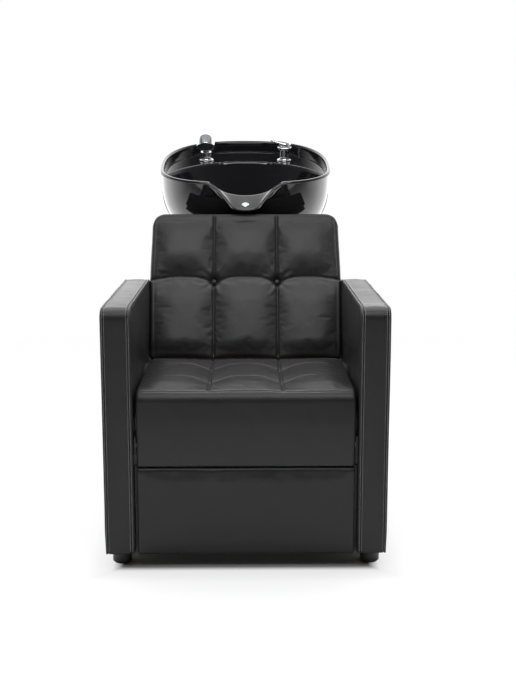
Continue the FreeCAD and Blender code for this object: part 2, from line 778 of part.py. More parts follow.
def make_back():
    """The backrest: a tufted cushion on a board, with a rear cover, two buttons and two brackets."""
    half, length, row = value("back_width / 2"), value("back_length"), value("back_row")
    thickness, dip = value("back_padding"), value("back_row_dip")
    seam = thickness - value("back_crown")
    crown, channel = value("back_crown"), value("back_channel")
    swell = value("seat_swell")
    lower = crowned_pad(row, half - swell, 0, seam, crown, channel, LOWER_ROW_SHARES, dip_end=dip)
    upper = crowned_pad(length - row, half - swell, 0, seam, crown, channel, UPPER_ROW_SHARES,
                        start=row, dip_start=dip, dip_end=dip)
    corner = value("back_corner")
    edge = half + swell
    below, above = -value("overrun"), thickness + value("back_crown")
    frame = [
        Part.makeLine(FreeCAD.Vector(-edge, 0, below), FreeCAD.Vector(edge, 0, below)),
        Part.makeLine(FreeCAD.Vector(edge, 0, below), FreeCAD.Vector(edge, length - corner, below)),
        round_corner(edge - corner, length - corner, corner, below, 1),
        Part.makeLine(FreeCAD.Vector(edge - corner, length, below),
                      FreeCAD.Vector(corner - edge, length, below)),
        round_corner(corner - edge, length - corner, corner, below, -1),
        Part.makeLine(FreeCAD.Vector(-edge, length - corner, below), FreeCAD.Vector(-edge, 0, below)),
    ]
    prism = Part.Face(Part.Wire(frame)).extrude(FreeCAD.Vector(0, 0, above - below))
    cushion = lower.fuse(upper).common(prism)
    dent_floor = value(DENT_FLOOR)
    stem = value("button_cord + fit_gap")
    for side in (-1, 1):
        spot = FreeCAD.Vector(side * value("channel_offset"), row, 0)
        crossing = spot + FreeCAD.Vector(0, 0, dent_floor + value("dimple_depth"))
        cushion = cushion.cut(tuft(crossing, value("dimple_radius"), value("dimple_depth")))
        cushion = cushion.cut(Part.makeCylinder(stem, thickness, spot))
    back_place(shaped("back_cushion", cushion))

    board = new_body("back_board")
    sketch = new_sketch(board, "XY_Plane")
    back_outline(sketch, "board_inset")
    add_pad(board, sketch, "back_board", reverse=True)
    back_place(board)
    cover = new_body("back_rear_cover")
    sketch = new_sketch(cover, "XY_Plane", "-back_board")
    back_outline(sketch, "board_inset / 2", "back_cover_start")
    add_pad(cover, sketch, "back_cover", reverse=True)
    back_place(cover)

    for name, side in SIDES:
        button = turned_body(f"back_button_{name}", [
            ("0", "0"),
            ("button_cord", "0"),
            ("button_cord", BUTTON_SEAT),
            ("button_radius", BUTTON_SEAT),
            ("button_radius", f"{BUTTON_SEAT} + button_thickness / 3"),
            ("button_radius / 2", f"{BUTTON_SEAT} + button_thickness * 0.85"),
            ("0", f"{BUTTON_SEAT} + button_thickness"),
        ])
        button.Placement.Rotation = FreeCAD.Rotation(FreeCAD.Vector(1, 0, 0), 90 - value("back_lean"))
        set_place(button, f"{side} * channel_offset", f"{BACK_ORIGIN_DEPTH} + sin(back_lean) * back_row",
                  f"{BACK_ORIGIN_HEIGHT} + cos(back_lean) * back_row")

        bracket = new_body(f"back_bracket_{name}")
        sketch = new_sketch(bracket, "YZ_Plane")
        rear = "(rear_rail_setback + rail_size)"
        bend_height = f"({BACK_ORIGIN_HEIGHT} - sin(back_lean) * back_board" \
                      f" + ({rear} - {BACK_ORIGIN_DEPTH} - cos(back_lean) * back_board) / tan(back_lean))"
        top_depth = f"({rear} + sin(back_lean) * bracket_reach)"
        top_height = f"({bend_height} + cos(back_lean) * bracket_reach)"
        draw_outline(sketch, [
            (rear, RAIL_BOTTOM),
            (f"{rear} + bracket_thickness", RAIL_BOTTOM),
            (f"{rear} + bracket_thickness", f"{bend_height} - bracket_thickness * tan(back_lean / 2)"),
            (f"{top_depth} + cos(back_lean) * bracket_thickness",
             f"{top_height} - sin(back_lean) * bracket_thickness"),
            (top_depth, top_height),
            (rear, bend_height),
        ])
        add_pad(bracket, sketch, "bracket_width", middle=True)
        set_place(bracket, f"{side} * bracket_spread")


def round_corner(x, y, radius, z, side):
    """A quarter arc about a corner's centre, to the right or the left of it, drawn anticlockwise."""
    turn = radius * math.sqrt(0.5)
    centre = FreeCAD.Vector(x, y, z)
    flat, up = FreeCAD.Vector(side * radius, 0, 0), FreeCAD.Vector(0, radius, 0)
    middle = centre + FreeCAD.Vector(side * turn, turn, 0)
    if side > 0:
        return arc_edge(centre + flat, middle, centre + up)
    return arc_edge(centre + up, middle, centre + flat)


def make_cabinet():
    """The cabinet that carries the basin: panels on two floor strips, open below for the pipes."""
    for name, side in SIDES:
        inner = f"{side} * (cabinet_width / 2 - panel_thickness)"
        outer = f"{side} * cabinet_width / 2"
        panel = new_body(f"cabinet_side_{name}")
        sketch = new_sketch(panel, "XY_Plane")
        draw_rectangle(sketch, inner, "panel_thickness", outer, "cabinet_depth - access_board - access_gap")
        add_pad(panel, sketch, f"{CABINET_TOP_UNDERSIDE} - floor_foot")
        holes = new_sketch(panel, "XZ_Plane", "access_board + access_gap + screw_bite - cabinet_depth")
        for height in SCREW_HEIGHTS:
            draw_circle(holes, f"{side} * (cabinet_width - panel_thickness) / 2", height,
                        "bolt_radius + bolt_clearance")
        add_pocket(panel, holes, "screw_bite + overrun")
        set_place(panel, "0", "cabinet_front", "floor_foot")

        strip = new_body(f"floor_strip_{name}")
        sketch = new_sketch(strip, "XY_Plane")
        edge = f"{side} * (cabinet_width / 2 + floor_foot_reach)"
        draw_rectangle(sketch, f"{edge} - {side} * floor_foot_width", "0", edge, "cabinet_depth")
        for depth in ("floor_hole_inset + floor_hole_radius",
                      "cabinet_depth - floor_hole_inset - floor_hole_radius"):
            draw_circle(sketch, f"{side} * (cabinet_width / 2 + floor_foot_reach - floor_hole_inset)", depth,
                        "floor_hole_radius")
        add_pad(strip, sketch, "floor_foot")
        set_place(strip, "0", "cabinet_front")

        top = new_body(f"cabinet_top_{name}")
        sketch = new_sketch(top, "XY_Plane")
        draw_rectangle(sketch, f"{side} * top_opening / 2", "0", outer, "cabinet_depth")
        add_pad(top, sketch, "panel_thickness")
        set_place(top, "0", "cabinet_front", CABINET_TOP_UNDERSIDE)

    front = board_body("cabinet_front_panel", "cabinet_width", "panel_thickness",
                       f"{CABINET_TOP_UNDERSIDE} - floor_foot")
    set_place(front, "-cabinet_width / 2", "cabinet_front", "floor_foot")
    access = board_body("access_panel", "cabinet_width - 2 * access_gap", "access_board",
                        f"{CABINET_TOP_UNDERSIDE} - floor_foot - 2 * access_gap")
    screws = new_sketch(access, "XZ_Plane")
    bolts = []
    for name, side in SIDES:
        for number, height in enumerate(SCREW_HEIGHTS):
            draw_circle(screws,
                        f"cabinet_width / 2 - access_gap + {side} * (cabinet_width - panel_thickness) / 2",
                        f"{height} - access_gap", "bolt_radius + bolt_clearance")
            bolts.append(bolt(f"access_screw_{name}_{number}",
                              f"{side} * (cabinet_width - panel_thickness) / 2",
                              "cabinet_front + cabinet_depth - access_gap", f"floor_foot + {height}",
                              FreeCAD.Vector(0, -1, 0), "access_board + screw_bite"))
    add_pocket(access, screws, "access_board")
    set_place(access, "access_gap - cabinet_width / 2",
              "cabinet_front + cabinet_depth - access_board - access_gap", "floor_foot + access_gap")
    like_pieces("access_screws", bolts)


def stop_place(angle, along):
    """(depth, height) of a stop rod that meets the cradle at an angle of the rim plane."""
    depth = f"({PIVOT_DEPTH} + cos({angle}) * {along} - sin({angle}) * {STOP_RISE})"
    height = f"({PIVOT_HEIGHT} + sin({angle}) * {along} + cos({angle}) * {STOP_RISE})"
    return depth, height


def make_tilt_mount():
    """The fixed cheeks, pivot bolts, friction washers and stop rods that the cradle turns between."""
    pivot_bolts, friction_washers, pivot_nuts = [], [], []
    front_depth, front_height = stop_place("tilt_angle", "(-stop_reach)")
    rear_depth, rear_height = stop_place("(tilt_angle - tilt_travel)", "stop_reach")
    for name, side in SIDES:
        cheek = new_body(f"tilt_cheek_{name}")
        sketch = new_sketch(cheek, "YZ_Plane", f"{side} * cheek_spread")
        margin = "(cheek_margin - stop_radius / 2)"
        draw_outline(sketch, [
            (f"{front_depth} - cheek_margin", "cabinet_height"),
            (f"{rear_depth} + cheek_margin", "cabinet_height"),
            (f"{rear_depth} + cheek_margin", f"{rear_height} + {margin}"),
            (f"{front_depth} - cheek_margin", f"{front_height} + {margin}"),
        ])
        add_pad(cheek, sketch, "cheek_thickness", reverse=side < 0)
        flange = new_sketch(cheek, "XY_Plane", "cabinet_height")
        draw_rectangle(flange, f"{side} * cheek_spread", f"{front_depth} - cheek_margin",
                       f"{side} * (cheek_spread + cheek_flange)", f"{rear_depth} + cheek_margin")
        add_pad(cheek, flange, "cheek_thickness")
        holes = new_sketch(cheek, "YZ_Plane", f"{side} * cheek_spread")
        draw_circle(holes, PIVOT_DEPTH, PIVOT_HEIGHT, "pivot_radius + running_gap")
        for depth, height in ((front_depth, front_height), (rear_depth, rear_height)):
            draw_circle(holes, depth, height, "stop_radius + running_gap")
        add_pocket(cheek, holes, "cheek_thickness", reverse=side > 0)
        set_place(cheek)

        inside = "(cheek_spread - friction_washer - cradle_thickness - 3 * running_gap)"
        pin = turned_body(f"pivot_bolt_{name}", [
            ("0", "-nut_height"),
            ("nut_radius", "-nut_height"),
            ("nut_radius", "0"),
            ("pivot_radius", "0"),
            ("pivot_radius", f"cheek_spread - {inside} + cheek_thickness + nut_height + overrun"),
            ("0", f"cheek_spread - {inside} + cheek_thickness + nut_height + overrun"),
        ], alone=False)
        pin.Placement.Rotation = FreeCAD.Rotation(FreeCAD.Vector(0, 0, 1), FreeCAD.Vector(side, 0, 0))
        set_place(pin, f"{side} * ({inside} - running_gap)", PIVOT_DEPTH, PIVOT_HEIGHT)

        pivot_bolts.append(pin)
        bore = "pivot_radius + running_gap"
        washer = ring_body(f"friction_washer_{name}", "friction_radius", bore, "friction_washer", alone=False)
        nut = nut_body(f"pivot_nut_{name}", "nut_radius", bore, "nut_height", alone=False)
        for item, start, group in ((washer, "(cheek_spread - friction_washer)", friction_washers),
                                   (nut, "(cheek_spread + cheek_thickness)", pivot_nuts)):
            item.Placement.Rotation = FreeCAD.Rotation(FreeCAD.Vector(0, 0, 1), FreeCAD.Vector(side, 0, 0))
            set_place(item, f"{side} * {start}", PIVOT_DEPTH, PIVOT_HEIGHT)
            group.append(item)
    like_pieces("pivot_bolts", pivot_bolts)
    like_pieces("friction_washers", friction_washers)
    like_pieces("pivot_nuts", pivot_nuts)

    rods = []
    for label, depth, height in (("stop_rod_front", front_depth, front_height),
                                 ("stop_rod_rear", rear_depth, rear_height)):
        rod = doc.addObject("Part::Cylinder", label)
        rod.setExpression("Radius", bound("stop_radius"))
        rod.setExpression("Height", bound("2 * (cheek_spread + cheek_thickness)"))
        rod.Placement.Rotation = FreeCAD.Rotation(FreeCAD.Vector(0, 0, 1), FreeCAD.Vector(1, 0, 0))
        set_place(rod, "-(cheek_spread + cheek_thickness)", depth, height)
        rods.append(rod)
    like_pieces("stop_rods", rods)


def basin_frame():
    """The basin's own frame in the whole."""
    tilt = FreeCAD.Rotation(FreeCAD.Vector(1, 0, 0), value("tilt_angle"))
    origin = FreeCAD.Vector(0, value("basin_depth_place - middle_setback"), value("basin_rim_height"))
    return FreeCAD.Placement(origin, tilt)


def place_on_basin(item, x="0", y="0", z="0", turn=None):
    """Place a piece by its place in the basin's frame."""
    base = FreeCAD.Vector(value(x), value(y), value(z))
    item.Placement = basin_frame() * FreeCAD.Placement(base, turn or FreeCAD.Rotation())


def make_cradle():
    """Two steel angles under the basin, on rubber pads, whose ears turn on the pivot bolts."""
    pads = []
    ear_outer = "(cheek_spread - friction_washer - 2 * running_gap)"
    for name, side in SIDES:
        cradle = new_body(f"cradle_{name}")
        ear = new_sketch(cradle, "YZ_Plane", f"{side} * {ear_outer}")
        draw_outline(ear, [
            ("-ear_radius", "-pivot_drop"),
            ("0", "-pivot_drop - ear_radius", "ear_radius", -1),
            ("ear_radius", "-pivot_drop", "ear_radius", -1),
            ("ear_top", f"-{CRADLE_TOP}"),
            ("-ear_top", f"-{CRADLE_TOP}"),
        ])
        add_pad(cradle, ear, "cradle_thickness", reverse=side > 0)
        leg = new_sketch(cradle, "XY_Plane", f"-{CRADLE_TOP}")
        draw_rectangle(leg, f"{side} * cradle_inner", "-cradle_reach",
                       f"{side} * {ear_outer}", "cradle_reach")
        add_pad(cradle, leg, "cradle_thickness", reverse=True)
        eye = new_sketch(cradle, "YZ_Plane", f"{side} * {ear_outer}")
        draw_circle(eye, "0", "-pivot_drop", "pivot_radius + running_gap")
        add_pocket(cradle, eye, "cradle_thickness", reverse=side < 0)
        place_on_basin(cradle)

        pad = new_body(f"cradle_pad_{name}", alone=False)
        sketch = new_sketch(pad, "XY_Plane", "-basin_depth")
        draw_rectangle(sketch, f"{side} * cradle_inner", "-cradle_reach",
                       f"{side} * {ear_outer}", "cradle_reach")
        add_pad(pad, sketch, "cradle_pad", reverse=True)
        place_on_basin(pad)
        pads.append(pad)
    like_pieces("cradle_pads", pads)


def arc_ring(points, height):
    """A closed wire of arcs at one height, each through three neighbouring points."""
    places = [FreeCAD.Vector(x, y, height) for x, y in points]
    places.append(places[0])
    return Part.Wire([arc_edge(*places[first:first + 3]) for first in range(0, len(points), 2)])


def outline_wire(share, inset, height):
    """The basin's plan outline, at a share of its size and drawn in by a wall."""
    sizes = ("basin_half_width", "basin_front", "basin_rear")
    half, front, rear = (value(name) * share - inset for name in sizes)
    return arc_ring(basin_outline_points(half, front, rear), height)


def outer_form(inset, top, overrun):
    """The basin's outer form, drawn in by a wall. Its ends may stand past the rim and the base."""
    depth = value("basin_depth")
    levels = [share * depth for share in BASIN_LEVEL_SHARES]
    wires = [outline_wire(basin_narrowing(level), inset, -level) for level in levels[1:-1]]
    first = outline_wire(1, inset, top)
    last = outline_wire(basin_narrowing(depth), inset, -depth - overrun)
    return Part.makeLoft([first, *wires, last], True, True)


def bowl_form():
    """The bowl inside the rim, down to its floor."""
    floor, rim = value("bowl_floor"), value("rim_width")
    rows = [outline_wire(share, rim, -place * floor) for place, share in BOWL_ROW_SHARES[1:]]
    return Part.makeLoft([outline_wire(1, rim, value("overrun")), *rows], True, True)


def deck_wall(grow):
    """The space in front of the tap deck's curved edge, whose wall leans forward as it goes down."""
    reach, ahead = value("basin_half_width + overrun"), value("basin_rear")
    tall = value("basin_depth + basin_rear")
    radius = value("deck_arc") + grow
    end = value("deck_arc") * DECK_ARC_SHARE
    side = math.sqrt(radius ** 2 - end ** 2) - radius
    drum = Part.makeCylinder(radius, 2 * tall, FreeCAD.Vector(0, -radius, -tall))
    front_corner = FreeCAD.Vector(-reach, side - ahead - radius, -tall)
    front = Part.makeBox(2 * reach, ahead + radius, 2 * tall, front_corner)
    lean = math.degrees(math.atan2(value("deck_edge_fall"), value("bowl_floor - deck_depth")))
    edge = FreeCAD.Vector(0, value("deck_front") + grow, -value("deck_depth"))
    placed = FreeCAD.Placement(edge, FreeCAD.Rotation(FreeCAD.Vector(1, 0, 0), -lean))
    return drum.fuse(front).transformed(placed.toMatrix())


def service_space():
    """The hollow under the tap deck, open below and behind for the tap nuts and hoses."""
    sizes = ("basin_wall", "deck_depth", "basin_depth", "overrun")
    wall, deck, bottom, over = (value(name) for name in sizes)
    side, rear = value("basin_half_width"), value("basin_rear")
    start = value("deck_front - deck_edge_fall")
    under_corner = FreeCAD.Vector(-side, start, -bottom - over)
    under = Part.makeBox(2 * side, rear, bottom + over - deck - wall, under_corner)
    hollow = outer_form(wall, over, over).common(under)
    half, top = value("service_width / 2"), value("service_top")
    opening_corner = FreeCAD.Vector(-half, start + 2 * wall, -bottom - over)
    opening = Part.makeBox(2 * half, rear, bottom + over - top, opening_corner)
    return hollow.fuse(opening).cut(deck_wall(wall))


def on_lip(shape):
    """A shape drawn on the neck lip, moved to the lip's root at the front of the rim."""
    slope = FreeCAD.Rotation(FreeCAD.Vector(1, 0, 0), value("lip_slope"))
    root = FreeCAD.Vector(0, -value("basin_front"), -value("notch_depth"))
    return shape.transformed(FreeCAD.Placement(root, slope).toMatrix())


def make_basin():
    """The glazed ceramic basin: one wall all round, a tap deck behind the bowl and a neck lip in front."""
    wall, deck, over = (value(name) for name in ("basin_wall", "deck_depth", "overrun"))
    floor, bottom = value("bowl_floor"), value("basin_depth")
    span = 2 * value("basin_rear")
    above_deck = Part.makeBox(span, span, deck + 2 * over, FreeCAD.Vector(-span / 2, -span / 2, -deck))
    bowl_space = deck_wall(0).fuse(above_deck)
    body = outer_form(0, 0, 0).fuse(on_lip(lip_form()))
    body = body.cut(bowl_form().common(bowl_space)).cut(on_lip(notch_form())).cut(service_space())
    for across, radius in (("tap_spread", "tap_shank"), ("-tap_spread", "collar_shank")):
        spot = FreeCAD.Vector(value(across), value("tap_depth"), -deck - wall - over)
        body = body.cut(Part.makeCylinder(value(f"{radius} + fit_gap"), wall + 2 * over, spot))
    drain = FreeCAD.Vector(0, 0, -bottom - over)
    body = body.cut(Part.makeCylinder(value("waste_radius + fit_gap"), bottom - floor + 2 * over, drain))
    screw = FreeCAD.Vector(0, -value("lip_length - neck_hole_inset"), -value("lip_thickness + overrun"))
    hole = Part.makeCylinder(value("neck_screw_radius + fit_gap"), value("lip_thickness") + 2 * over, screw)
    body = body.cut(on_lip(hole))
    place_on_basin(shaped("basin", body))


def lip_form():
    """The neck lip: a plate with a rounded tip, running from its own origin towards the chair."""
    half, length = value("lip_width / 2"), value("lip_length")
    inward, corner = value("basin_wall * 0.8"), value("lip_corner - lip_length")
    edges = [
        Part.makeLine(FreeCAD.Vector(half, inward, 0), FreeCAD.Vector(-half, inward, 0)),
        Part.makeLine(FreeCAD.Vector(-half, inward, 0), FreeCAD.Vector(-half, corner, 0)),
        arc_edge(FreeCAD.Vector(-half, corner, 0), FreeCAD.Vector(0, -length, 0),
                 FreeCAD.Vector(half, corner, 0)),
        Part.makeLine(FreeCAD.Vector(half, corner, 0), FreeCAD.Vector(half, inward, 0)),
    ]
    return Part.Face(Part.Wire(edges)).extrude(FreeCAD.Vector(0, 0, -value("lip_thickness")))


def notch_form():
    """The space of the neck notch, narrow on the lip and wider at the rim."""
    low, high = value("notch_half_bottom"), value("notch_half_top")
    rise = value("notch_depth + overrun") * 1.3
    back, ahead = value("basin_wall") * 3, -value("lip_length + overrun")
    profiles = []
    for along in (back, ahead):
        base = FreeCAD.Vector(0, along, 0)
        bend = FreeCAD.Vector(0, along, rise * 0.25)
        left, right = FreeCAD.Vector(-low, 0, 0), FreeCAD.Vector(low, 0, 0)
        top_left, top_right = FreeCAD.Vector(-high, 0, rise), FreeCAD.Vector(high, 0, rise)
        swell = FreeCAD.Vector((high - low) * 0.75, 0, 0)
        profiles.append(Part.Wire([
            Part.makeLine(base + left, base + right),
            arc_edge(base + right, bend + right + swell * 0.7, base + top_right),
            Part.makeLine(base + top_right, base + top_left),
            arc_edge(base + top_left, bend + left - swell * 0.7, base + left),
        ]))
    return Part.makeLoft(profiles, True, True)


def make_neck_screw():
    """The cup washer, screw and nut at the tip of the neck lip."""
    slope = FreeCAD.Rotation(FreeCAD.Vector(1, 0, 0), value("lip_slope"))
    along = "(lip_length - neck_hole_inset)"
    y = f"-basin_front - cos(lip_slope) * {along}"
    z = f"-notch_depth - sin(lip_slope) * {along}"
    washer = turned_body("neck_washer", [
        ("neck_screw_radius + fit_gap", "0"),
        ("neck_washer_radius", "0"),
        ("neck_screw_head", "neck_washer_height"),
        ("neck_screw_radius + fit_gap", "neck_washer_height / 2"),
    ])
    place_on_basin(washer, "0", y, z, slope)
    screw = turned_body("neck_screw", [
        ("0", "-lip_thickness - neck_nut_height"),
        ("neck_screw_radius", "-lip_thickness - neck_nut_height"),
        ("neck_screw_radius", "neck_washer_height / 2"),
        ("neck_screw_head - fit_gap", "neck_washer_height"),
        ("neck_screw_head / 2", "neck_washer_height * 1.5"),
        ("0", "neck_washer_height * 1.6"),
    ])
    place_on_basin(screw, "0", y, z, slope)
    nut = nut_body("neck_nut", "neck_screw_head", "neck_screw_radius + running_gap", "neck_nut_height")
    below = "(lip_thickness + neck_nut_height)"
    place_on_basin(nut, "0", f"{y} + sin(lip_slope) * {below}", f"{z} - cos(lip_slope) * {below}", slope)


def make_waste():
    """The drain: a slotted strainer on a gasket, its tail pipe and the nut that clamps it."""
    strainer = turned_body("waste_strainer", [
        ("0", "waste_gasket"),
        ("waste_flange", "waste_gasket"),
        ("waste_flange", "waste_gasket + waste_flange_height / 3"),
        ("waste_flange * 0.8", "waste_gasket + waste_flange_height"),
        ("0", "waste_gasket + waste_flange_height * 0.8"),
    ])
    slots = new_sketch(strainer, "XY_Plane")
    for step in (-1, 0, 1):
        draw_rectangle(slots, "-waste_slot_length / 2", f"({step} * waste_slot_pitch - waste_slot_width / 2)",
                       "waste_slot_length / 2", f"({step} * waste_slot_pitch + waste_slot_width / 2)")
    add_pocket(strainer, slots, "waste_gasket + waste_flange_height * 2", reverse=True)
    place_on_basin(strainer, "0", "0", "-bowl_floor")
    gasket = ring_body("waste_gasket", "waste_flange - waste_gasket", "waste_radius + fit_gap",
                       "waste_gasket")
    place_on_basin(gasket, "0", "0", "-bowl_floor")
    tail = turned_body("waste_tail", [
        ("waste_bore", "0"),
        ("waste_spigot", "0"),
        ("waste_spigot", "waste_spigot_length"),
        ("waste_radius", "waste_spigot_length"),
        ("waste_radius", "waste_tail"),
        ("waste_bore", "waste_tail"),
    ])
    place_on_basin(tail, "0", "0", "-bowl_floor + waste_gasket - waste_tail")
    nut = nut_body("waste_nut", "waste_nut_radius", "waste_radius + running_gap", "waste_nut_height")
    place_on_basin(nut, "0", "0", "-basin_depth - waste_nut_height")


def make_mixer():
    """The single-lever mixer: a column through the deck, a turning cap and a lifting lever."""
    body = turned_body("mixer_body", [
        ("0", "-basin_wall - tap_nut_height - overrun"),
        ("tap_shank", "-basin_wall - tap_nut_height - overrun"),
        ("tap_shank", "0"),
        ("mixer_flange", "0"),
        ("mixer_flange", "mixer_flange_height / 3"),
        ("mixer_column * 1.15", "mixer_flange_height"),
        ("mixer_column", "mixer_flange_height * 2"),
        ("mixer_column", "mixer_height"),
        ("0", "mixer_height"),
    ])
    place_on_basin(body, "tap_spread", "tap_depth", "-deck_depth")
    cap = turned_body("mixer_cap", [
        ("0", "0"),
        ("mixer_cap_radius - mixer_cap_height / 8", "0"),
        ("mixer_cap_radius", "mixer_cap_height / 8"),
        ("mixer_cap_radius", "mixer_cap_height / 3"),
        ("mixer_cap_radius * 0.8", "mixer_cap_height * 0.75"),
        ("mixer_cap_radius * 0.4", "mixer_cap_height"),
        ("0", "mixer_cap_height"),
    ])
    slot = new_sketch(cap, "XZ_Plane")
    draw_rectangle(slot, "-mixer_cap_radius - overrun", "mixer_cap_height - lever_slot",
                   "mixer_cap_radius / 2", "mixer_cap_height + overrun")
    add_pocket(cap, slot, "lever_width + 2 * fit_gap", middle=True)
    pivot_height = "(mixer_cap_height - lever_slot + lever_root + 2 * fit_gap)"
    eye = new_sketch(cap, "XZ_Plane")
    draw_circle(eye, "0", pivot_height, "lever_pin + running_gap")
    add_pocket(cap, eye, "2 * mixer_cap_radius", middle=True)
    place_on_basin(cap, "tap_spread", "tap_depth", "-deck_depth + mixer_height + fit_gap")
    lever = new_body("mixer_lever")
    sketch = new_sketch(lever, "XZ_Plane")
    draw_outline(sketch, [
        ("-lever_root", pivot_height),
        ("0", f"{pivot_height} - lever_root", "lever_root", -1),
        ("lever_root", pivot_height, "lever_root", -1),
        ("lever_root", "mixer_cap_height + lever_thickness / 2"),
        ("-lever_length", "mixer_cap_height + lever_thickness * 1.2"),
        ("-lever_length", "mixer_cap_height + lever_thickness * 0.6"),
        ("-lever_root", "mixer_cap_height - lever_thickness / 4"),
    ])
    add_pad(lever, sketch, "lever_width", middle=True)
    eye = new_sketch(lever, "XZ_Plane")
    draw_circle(eye, "0", pivot_height, "lever_pin + running_gap")
    add_pocket(lever, eye, "2 * mixer_cap_radius", middle=True)
    place_on_basin(lever, "tap_spread", "tap_depth", "-deck_depth + mixer_height + fit_gap")
    pin = new_body("lever_pin")
    sketch = new_sketch(pin, "XZ_Plane")
    draw_circle(sketch, "0", pivot_height, "lever_pin")
    add_pad(pin, sketch, "lever_width + lever_root * 2", middle=True)
    place_on_basin(pin, "tap_spread", "tap_depth", "-deck_depth + mixer_height + fit_gap")
    nut = nut_body("mixer_nut", "tap_nut_radius", "tap_shank + running_gap", "tap_nut_height")
    place_on_basin(nut, "tap_spread", "tap_depth", "-deck_depth - basin_wall - tap_nut_height")


def make_shower():
    """The hand shower: its deck collar and nut, and the grip, bell head, spray face and hose nut."""
    collar = turned_body("shower_collar", [
        ("collar_bore", "-basin_wall - tap_nut_height - overrun"),
        ("collar_shank", "-basin_wall - tap_nut_height - overrun"),
        ("collar_shank", "0"),
        ("collar_flange", "0"),
        ("collar_flange", "collar_flange_height / 3"),
        ("collar_column * 1.15", "collar_flange_height"),
        ("collar_column", "collar_flange_height * 2"),
        ("collar_column", "collar_height"),
        ("collar_bore", "collar_height"),
    ])
    place_on_basin(collar, "-tap_spread", "tap_depth", "-deck_depth")
    nut = nut_body("collar_nut", "collar_shank + tap_nut_height", "collar_shank + running_gap",
                   "tap_nut_height")
    place_on_basin(nut, "-tap_spread", "tap_depth", "-deck_depth - basin_wall - tap_nut_height")
    grip = turned_body("handset_grip", [
        ("0", "-grip_below"),
        ("grip_radius * 0.8", "-grip_below"),
        ("grip_radius", "-grip_below + grip_radius"),
        ("grip_radius", "grip_above"),
        ("grip_radius * 0.7", "grip_above + grip_radius * 0.4"),
        ("0", "grip_above + grip_radius / 2"),
    ])
    place_on_basin(grip, "-tap_spread", "tap_depth", "-deck_depth")
    tip = FreeCAD.Rotation(FreeCAD.Vector(1, 0, 0), 90 + value("head_angle"))
    head_place = ("-tap_spread", "tap_depth - head_forward", "-deck_depth + head_rise", tip)
    bell = turned_body("shower_bell", [
        ("0", "-head_length / 2"),
        ("grip_radius", "-head_length / 2"),
        ("head_radius * 0.82", "-head_length / 6"),
        ("head_radius", "head_length / 4"),
        ("head_radius", "head_length / 2"),
        ("face_radius", "head_length / 2"),
        ("face_radius", "head_length / 2 - face_depth"),
        ("0", "head_length / 2 - face_depth"),
    ], alone=False)
    place_on_basin(bell, *head_place)
    head = doc.addObject("Part::Cut", "shower_head")
    head.Base, head.Tool = bell, grip
    node(head, "shower_head")
    face = new_body("spray_face")
    sketch = new_sketch(face, "XY_Plane", "head_length / 2 - face_depth")
    draw_circle(sketch, "0", "0", "face_radius - fit_gap / 2")
    add_pad(face, sketch, "face_depth")
    place_on_basin(face, *head_place)
    nut = new_body("hose_nut")
    sketch = new_sketch(nut, "XY_Plane")
    draw_circle(sketch, "0", "0", "hose_nut_radius")
    add_pad(nut, sketch, "hose_nut_height", reverse=True)
    place_on_basin(nut, "-tap_spread", "tap_depth", "-deck_depth - grip_below")


like_pieces("arm_feet", [foot for name, side in SIDES for foot in make_arm(name, side)])
make_frame()
make_seat()
make_front_panel()
make_back()
make_cabinet()
make_tilt_mount()
make_cradle()
make_basin()
make_neck_screw()
make_waste()
make_mixer()
make_shower()

doc.recompute()
for item in doc.Objects:
    if "Invalid" in item.State or "Error" in item.State:
        raise RuntimeError(f"{item.Label} failed: {item.State}")
for label, item in nodes:
    if item.Shape.isNull() or not item.Shape.isValid():
        raise RuntimeError(f"{label} has no valid shape")
for label, item in nodes:
    item.Shape.exportStep(f"parts/{label}.step")
print(len(nodes), "sub-parts written")
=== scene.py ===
import math
import bmesh
import bpy
import numpy as np
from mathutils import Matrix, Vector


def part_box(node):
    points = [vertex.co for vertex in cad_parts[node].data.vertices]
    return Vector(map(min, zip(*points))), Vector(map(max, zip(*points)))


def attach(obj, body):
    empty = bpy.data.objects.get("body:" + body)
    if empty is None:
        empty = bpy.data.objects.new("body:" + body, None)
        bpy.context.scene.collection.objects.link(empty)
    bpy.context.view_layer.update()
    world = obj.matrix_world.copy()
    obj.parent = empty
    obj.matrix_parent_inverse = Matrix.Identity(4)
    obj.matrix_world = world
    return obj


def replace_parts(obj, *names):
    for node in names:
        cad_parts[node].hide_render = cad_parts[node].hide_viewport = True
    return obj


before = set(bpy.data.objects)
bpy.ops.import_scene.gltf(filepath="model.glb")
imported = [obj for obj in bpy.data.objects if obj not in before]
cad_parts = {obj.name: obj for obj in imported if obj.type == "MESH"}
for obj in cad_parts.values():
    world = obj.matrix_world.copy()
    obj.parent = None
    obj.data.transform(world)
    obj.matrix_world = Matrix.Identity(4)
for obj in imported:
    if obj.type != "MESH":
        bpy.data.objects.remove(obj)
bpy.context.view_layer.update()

scene = bpy.context.scene
scene.view_settings.view_transform = "Standard"

